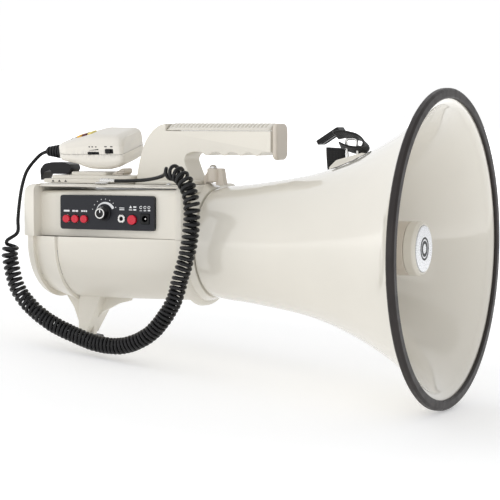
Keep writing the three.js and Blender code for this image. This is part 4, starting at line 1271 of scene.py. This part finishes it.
def build_cradle():
    tiers = [(-398, -306, 30.8, 54.6, 58.5, 5), (-392, -306, 25, 58.4, 61.8, 4.5)]
    tiers += [(-374, -336, 18, 61.7, 65, 3)]
    stack = []
    for x0, x1, half, z0, z1, corner in tiers:
        stack.append(stepped(x0, x1, half, corner, [(0, z0), (0, z1 - 1.1), (0.3, z1 - 0.4), (1.1, z1)]))
    base = build("cradle", stack[0], CREAM_SATIN)
    carve(base, *[build("tier", s, CREAM_SATIN) for s in stack[1:]], operation="UNION")
    crisp(base, 28)
    place(base, stands_for=["cradle_base"])

    hook = [(-400.5, 62.2), (-382, 62.2), (-378.5, 68), (-380.5, 71.6), (-388, 73.4), (-400, 73.6)]
    hook += [(-409, 72), (-413.5, 66.5), (-412.5, 55), (-409.8, 61), (-408.5, 64), (-401.5, 66.5)]
    hook = fillet(hook, [1, 1.5, 3, 3, 4, 4, 6, 6, 0.6, 4, 2, 2], closed=True, steps=5)
    make("hook", prism(hook, "y", -9, 9), BLACK, stands_for=["cradle_hook"], bevel=1.2)

    clip = [(-332, 62.2), (-320.5, 62.2), (-318, 64.5), (-318.2, 68), (-320.2, 68.6), (-325, 66.2)]
    clip += [(-330, 64)]
    clip = build("clip", prism(fillet(clip, 1, closed=True, steps=3), "y", -14, 2), TAN)
    soften(clip, 0.7, 3, angle=50)
    grooves = [slab(-326, -316, z, z + 0.8, -14.6, -13.2) for z in (63.4, 64.9, 66.4)]
    carve(clip, *[build("groove", groove, TAN) for groove in grooves])
    crisp(clip, 35)
    place(clip, "cradle_clip", ["cradle_clip"])

    marks = []
    for i, x in enumerate((-386, -379, -372)):
        marks.append(prism([(x - 1.5, 55.6), (x + 1.5, 55.6), (x, 57.4)], "y", -30.95, -30.5))
    make("cradle_marks", merged(*marks), DARK_MARK, smooth=False)


def build_gland():
    x, y, z0 = -325, -40, PLATE_TOP + 0.3
    levels = [(0, z0), (0, z0 + 0.9), (0.5, z0 + 1.5), (1.3, z0 + 1.8)]
    plate = stepped(x - 9, x + 6, 5, 4.4, levels, 8, middle=y)
    sleeve = [(0, 0), (0, 2.2), (1, 2.7), (9.5, 2.7), (10.2, 2.3), (15.4, 2.2), (15.6, 1.7), (15.6, 0)]
    sleeve = turned_at(fillet(sleeve, 0.4), (x - 4, y, 57.3), (1, 0, 0), 40, closed=False)
    make("gland", merged(plate, sleeve), STEEL, stands_for=["cord_gland"])


# Shoulder strap -------------------------------------------------------------------------------------
STRAP_LINE = [
    ((-124, 38.5, 88.5), (1, 0, 0)),
    ((-124.5, 40.5, 80), (1, 0, 0)),
    ((-126, 48, 63), (1, 0, 0)),
    ((-128, 60, 45), (1, 0.1, 0)),
    ((-131, 70, 22), (1, 0.5, 0)),
    ((-137, 75, -3), (0.5, 1, 0)),
    ((-153, 76, -27), (0, 1, 0)),
    ((-185, 76, -43), (0, 1, 0)),
    ((-230, 76, -47), (0, 1, 0)),
    ((-280, 76, -39), (0, 1, 0)),
    ((-325, 75, -22), (0, 1, 0)),
    ((-358, 74, -3), (0, 1, 0)),
    ((-377, 73, 10.5), (0, 1, 0)),
]


def band(path, widths, width, thickness, columns=9):
    """A woven band along a path with softly rounded selvedges; add_band_uvs gives it UVs in metres."""
    path = np.asarray(path, float)
    rings = []
    for p, t, w in zip(path, unit_tangents(path), widths):
        w = np.array(w, float)
        w -= t * w.dot(t)
        w /= np.linalg.norm(w)
        out = np.cross(t, w)
        ring = []
        for side in (1, -1):
            for k in range(columns):
                u = (k / (columns - 1) * 2 - 1) * side
                swell = 0.5 * thickness * (1 - 0.55 * abs(u) ** 6)
                ring.append(p + w * u * width / 2 + out * side * swell)
        rings.append(ring)
    return loft(rings)


def add_band_uvs(obj, path):
    """u runs along the band and v across it, both in metres."""
    path = np.asarray(path, float)
    along_path = np.concatenate([[0], np.cumsum(np.linalg.norm(np.diff(path, axis=0), axis=1))])
    row_path = np.array([TO_ROW @ Vector(p) for p in path])
    co = np.array([v.co for v in obj.data.vertices])
    nearest = np.array([int(np.argmin(((row_path - c) ** 2).sum(1))) for c in co])
    off = np.linalg.norm(co - row_path[nearest], axis=1)
    sign = np.sign((co - row_path[nearest])[:, 0] + 0.3 * (co - row_path[nearest])[:, 1])
    layer = obj.data.uv_layers.new(name="UVMap")
    for loop in obj.data.loops:
        i = loop.vertex_index
        layer.data[loop.index].uv = (along_path[nearest[i]] * MM, off[i] * sign[i])


def make_band(name, path, widths, width, thickness, stands_for=()):
    obj = build(name, band(path, widths, width, thickness), WEB)
    add_band_uvs(obj, path)
    soften(obj, 0)
    return place(obj, stands_for=stands_for)


def build_webbing():
    centre = spline([p for p, _ in STRAP_LINE], 150)
    ks = np.linspace(0, len(STRAP_LINE) - 1, 151)
    across = np.array([w for _, w in STRAP_LINE], float)
    widths = np.array([np.interp(ks, range(len(STRAP_LINE)), across[:, i]) for i in range(3)]).T
    make_band("strap_band", centre, widths, 19, 2, ["strap_webbing"])


def build_strap_loop():
    """Webbing from the buckle, forward and round the ring's front leg."""
    line = [(-120.5, 100), (-113, 101.3), (-104, 100), (-96.5, 97.8), (-92, 93.8)]
    line += [(-91.6, 89.6), (-95, 87), (-101, 86.8), (-108, 88.2), (-116, 91.5)]
    top = spline([(x, STRAP_Y, z) for x, z in line], 60)
    make_band("strap_fold", top, [(0.05, 0.88, -0.47)] * len(top), 15, 1.9, ["strap_loop"])


def build_ring(name, corners, stands_for):
    rounded = fillet([tuple(c) for c in corners], 3.2, closed=True, steps=6)
    dense = []
    for i, p in enumerate(rounded):
        q = rounded[(i + 1) % len(rounded)]
        a, b = np.array(p), np.array(q)
        count = max(1, int(np.linalg.norm(b - a) / 1.2))
        dense.extend(a + (b - a) * k / count for k in range(count))
    make(name, ring_tube(dense, 1.2, 14), STEEL, stands_for=[stands_for])


def build_buckle():
    frame_block = build("buckle", prism(rectangle(-12.5, 12.5, -9, 9, 2, 5), "z", -2.2, 2.2), BLACK)
    windows = [prism(rectangle(-10, 10, y0, y0 + 4.2, 0.8, 3), "z", -5, 5) for y0 in (-7, 2.8)]
    carve(frame_block, *[build("window", window, BLACK) for window in windows])
    tilt = Matrix.Translation((-127, STRAP_Y + 4, 99.5)) @ Matrix.Rotation(math.radians(-32), 4, "Y")
    frame_block.data.transform(TO_ROW @ tilt @ TO_ROW.inverted())
    soften(frame_block, 0.7, 3, angle=45)
    place(frame_block, stands_for=["strap_buckle"])


def bell_outside():
    curve = [(x, r + 0.15) for x, r in spline(BELL_LINE, 40)]
    return lathe([(curve[0][0], 0), *curve, (curve[-1][0], 0)], 144, closed=False)


def build_lugs():
    side = [(-124, 55), (-88, 55), (-88, 84), (-92, 84.4), (-117, 77.5), (-124, 71)]
    side = fillet(side, [0.3, 0.3, 1.5, 3, 3, 2], closed=True, steps=4)
    lug = build("front_lug", prism(side, "y", STRAP_Y - 7.5, STRAP_Y + 7.5), CREAM)
    soften(lug, 1.0, 3, angle=40)
    groove = slab(-114, -95, 74.5, 92, STRAP_Y - 1.8, STRAP_Y + 1.8)
    carve(lug, build("groove", groove, CREAM), build("bell", bell_outside(), CREAM))
    crisp(lug, 35)
    place(lug, stands_for=["strap_lug_front"])

    x, y0, z = -380, BODY_R + 0.3, 28
    lug = build("rear_lug", prism(rectangle(x - 6, x + 6, z - 5, z + 6, 3, 5), "y", y0, y0 + 31), CREAM)
    soften(lug, 1.0, 3, angle=40)
    groove = slab(x - 1.8, x + 1.8, z - 8, z + 3, y0 + 3.5, y0 + 28)
    carve(lug, build("groove", groove, CREAM))
    crisp(lug, 35)
    place(lug, stands_for=["strap_lug_rear"])


def build_strap():
    build_lugs()
    corners = [(-98.5, STRAP_Y, 76.5), (-99.5, STRAP_Y, 97), (-110.5, STRAP_Y, 97), (-108, STRAP_Y, 76.5)]
    build_ring("front_ring", corners, "strap_ring_front")
    y0 = BODY_R + 0.3
    corners = [(-380, y0 + 6.5, 28), (-380, y0 + 23.5, 28), (-380, y0 + 28.5, 12), (-380, y0 + 5, 12)]
    build_ring("rear_ring", corners, "strap_ring_rear")
    build_buckle()
    build_webbing()
    build_strap_loop()


# Inner pieces keep their CAD shapes ------------------------------------------------------------------


def dress_inner_pieces():
    board = plastic("circuit_board_green", "circuit_board", (0.02, 0.10, 0.045), 0.35, grain=0.5, vary=0.2)
    cell = plastic("cell_sleeve", "cell", (0.03, 0.12, 0.36), 0.28, vary=0.06)
    film = plastic("diaphragm_film", "diaphragm_film", (0.5, 0.42, 0.25), 0.4)
    looks = {
        "driver_housing": STEEL,
        "driver_diaphragm": film,
        "volume_potentiometer": STEEL,
        "amplifier_board": board,
        "mic_board": board,
        "battery_tray": BLACK,
        **{f"battery_cell_{i}": cell for i in (1, 2, 3, 4)},
    }
    for name, look in looks.items():
        node = frame["nodes"][name]
        node.data.materials.clear()
        node.data.materials.append(look.material)


build_horn()
build_reflector()
build_housing()
build_top_plate()
build_foot()
build_bracket()
build_panel()
build_buttons()
build_knob()
build_sockets()
build_handle()
build_grip_cover()
build_microphone()
build_cradle()
build_gland()
build_strap()
dress_inner_pieces()
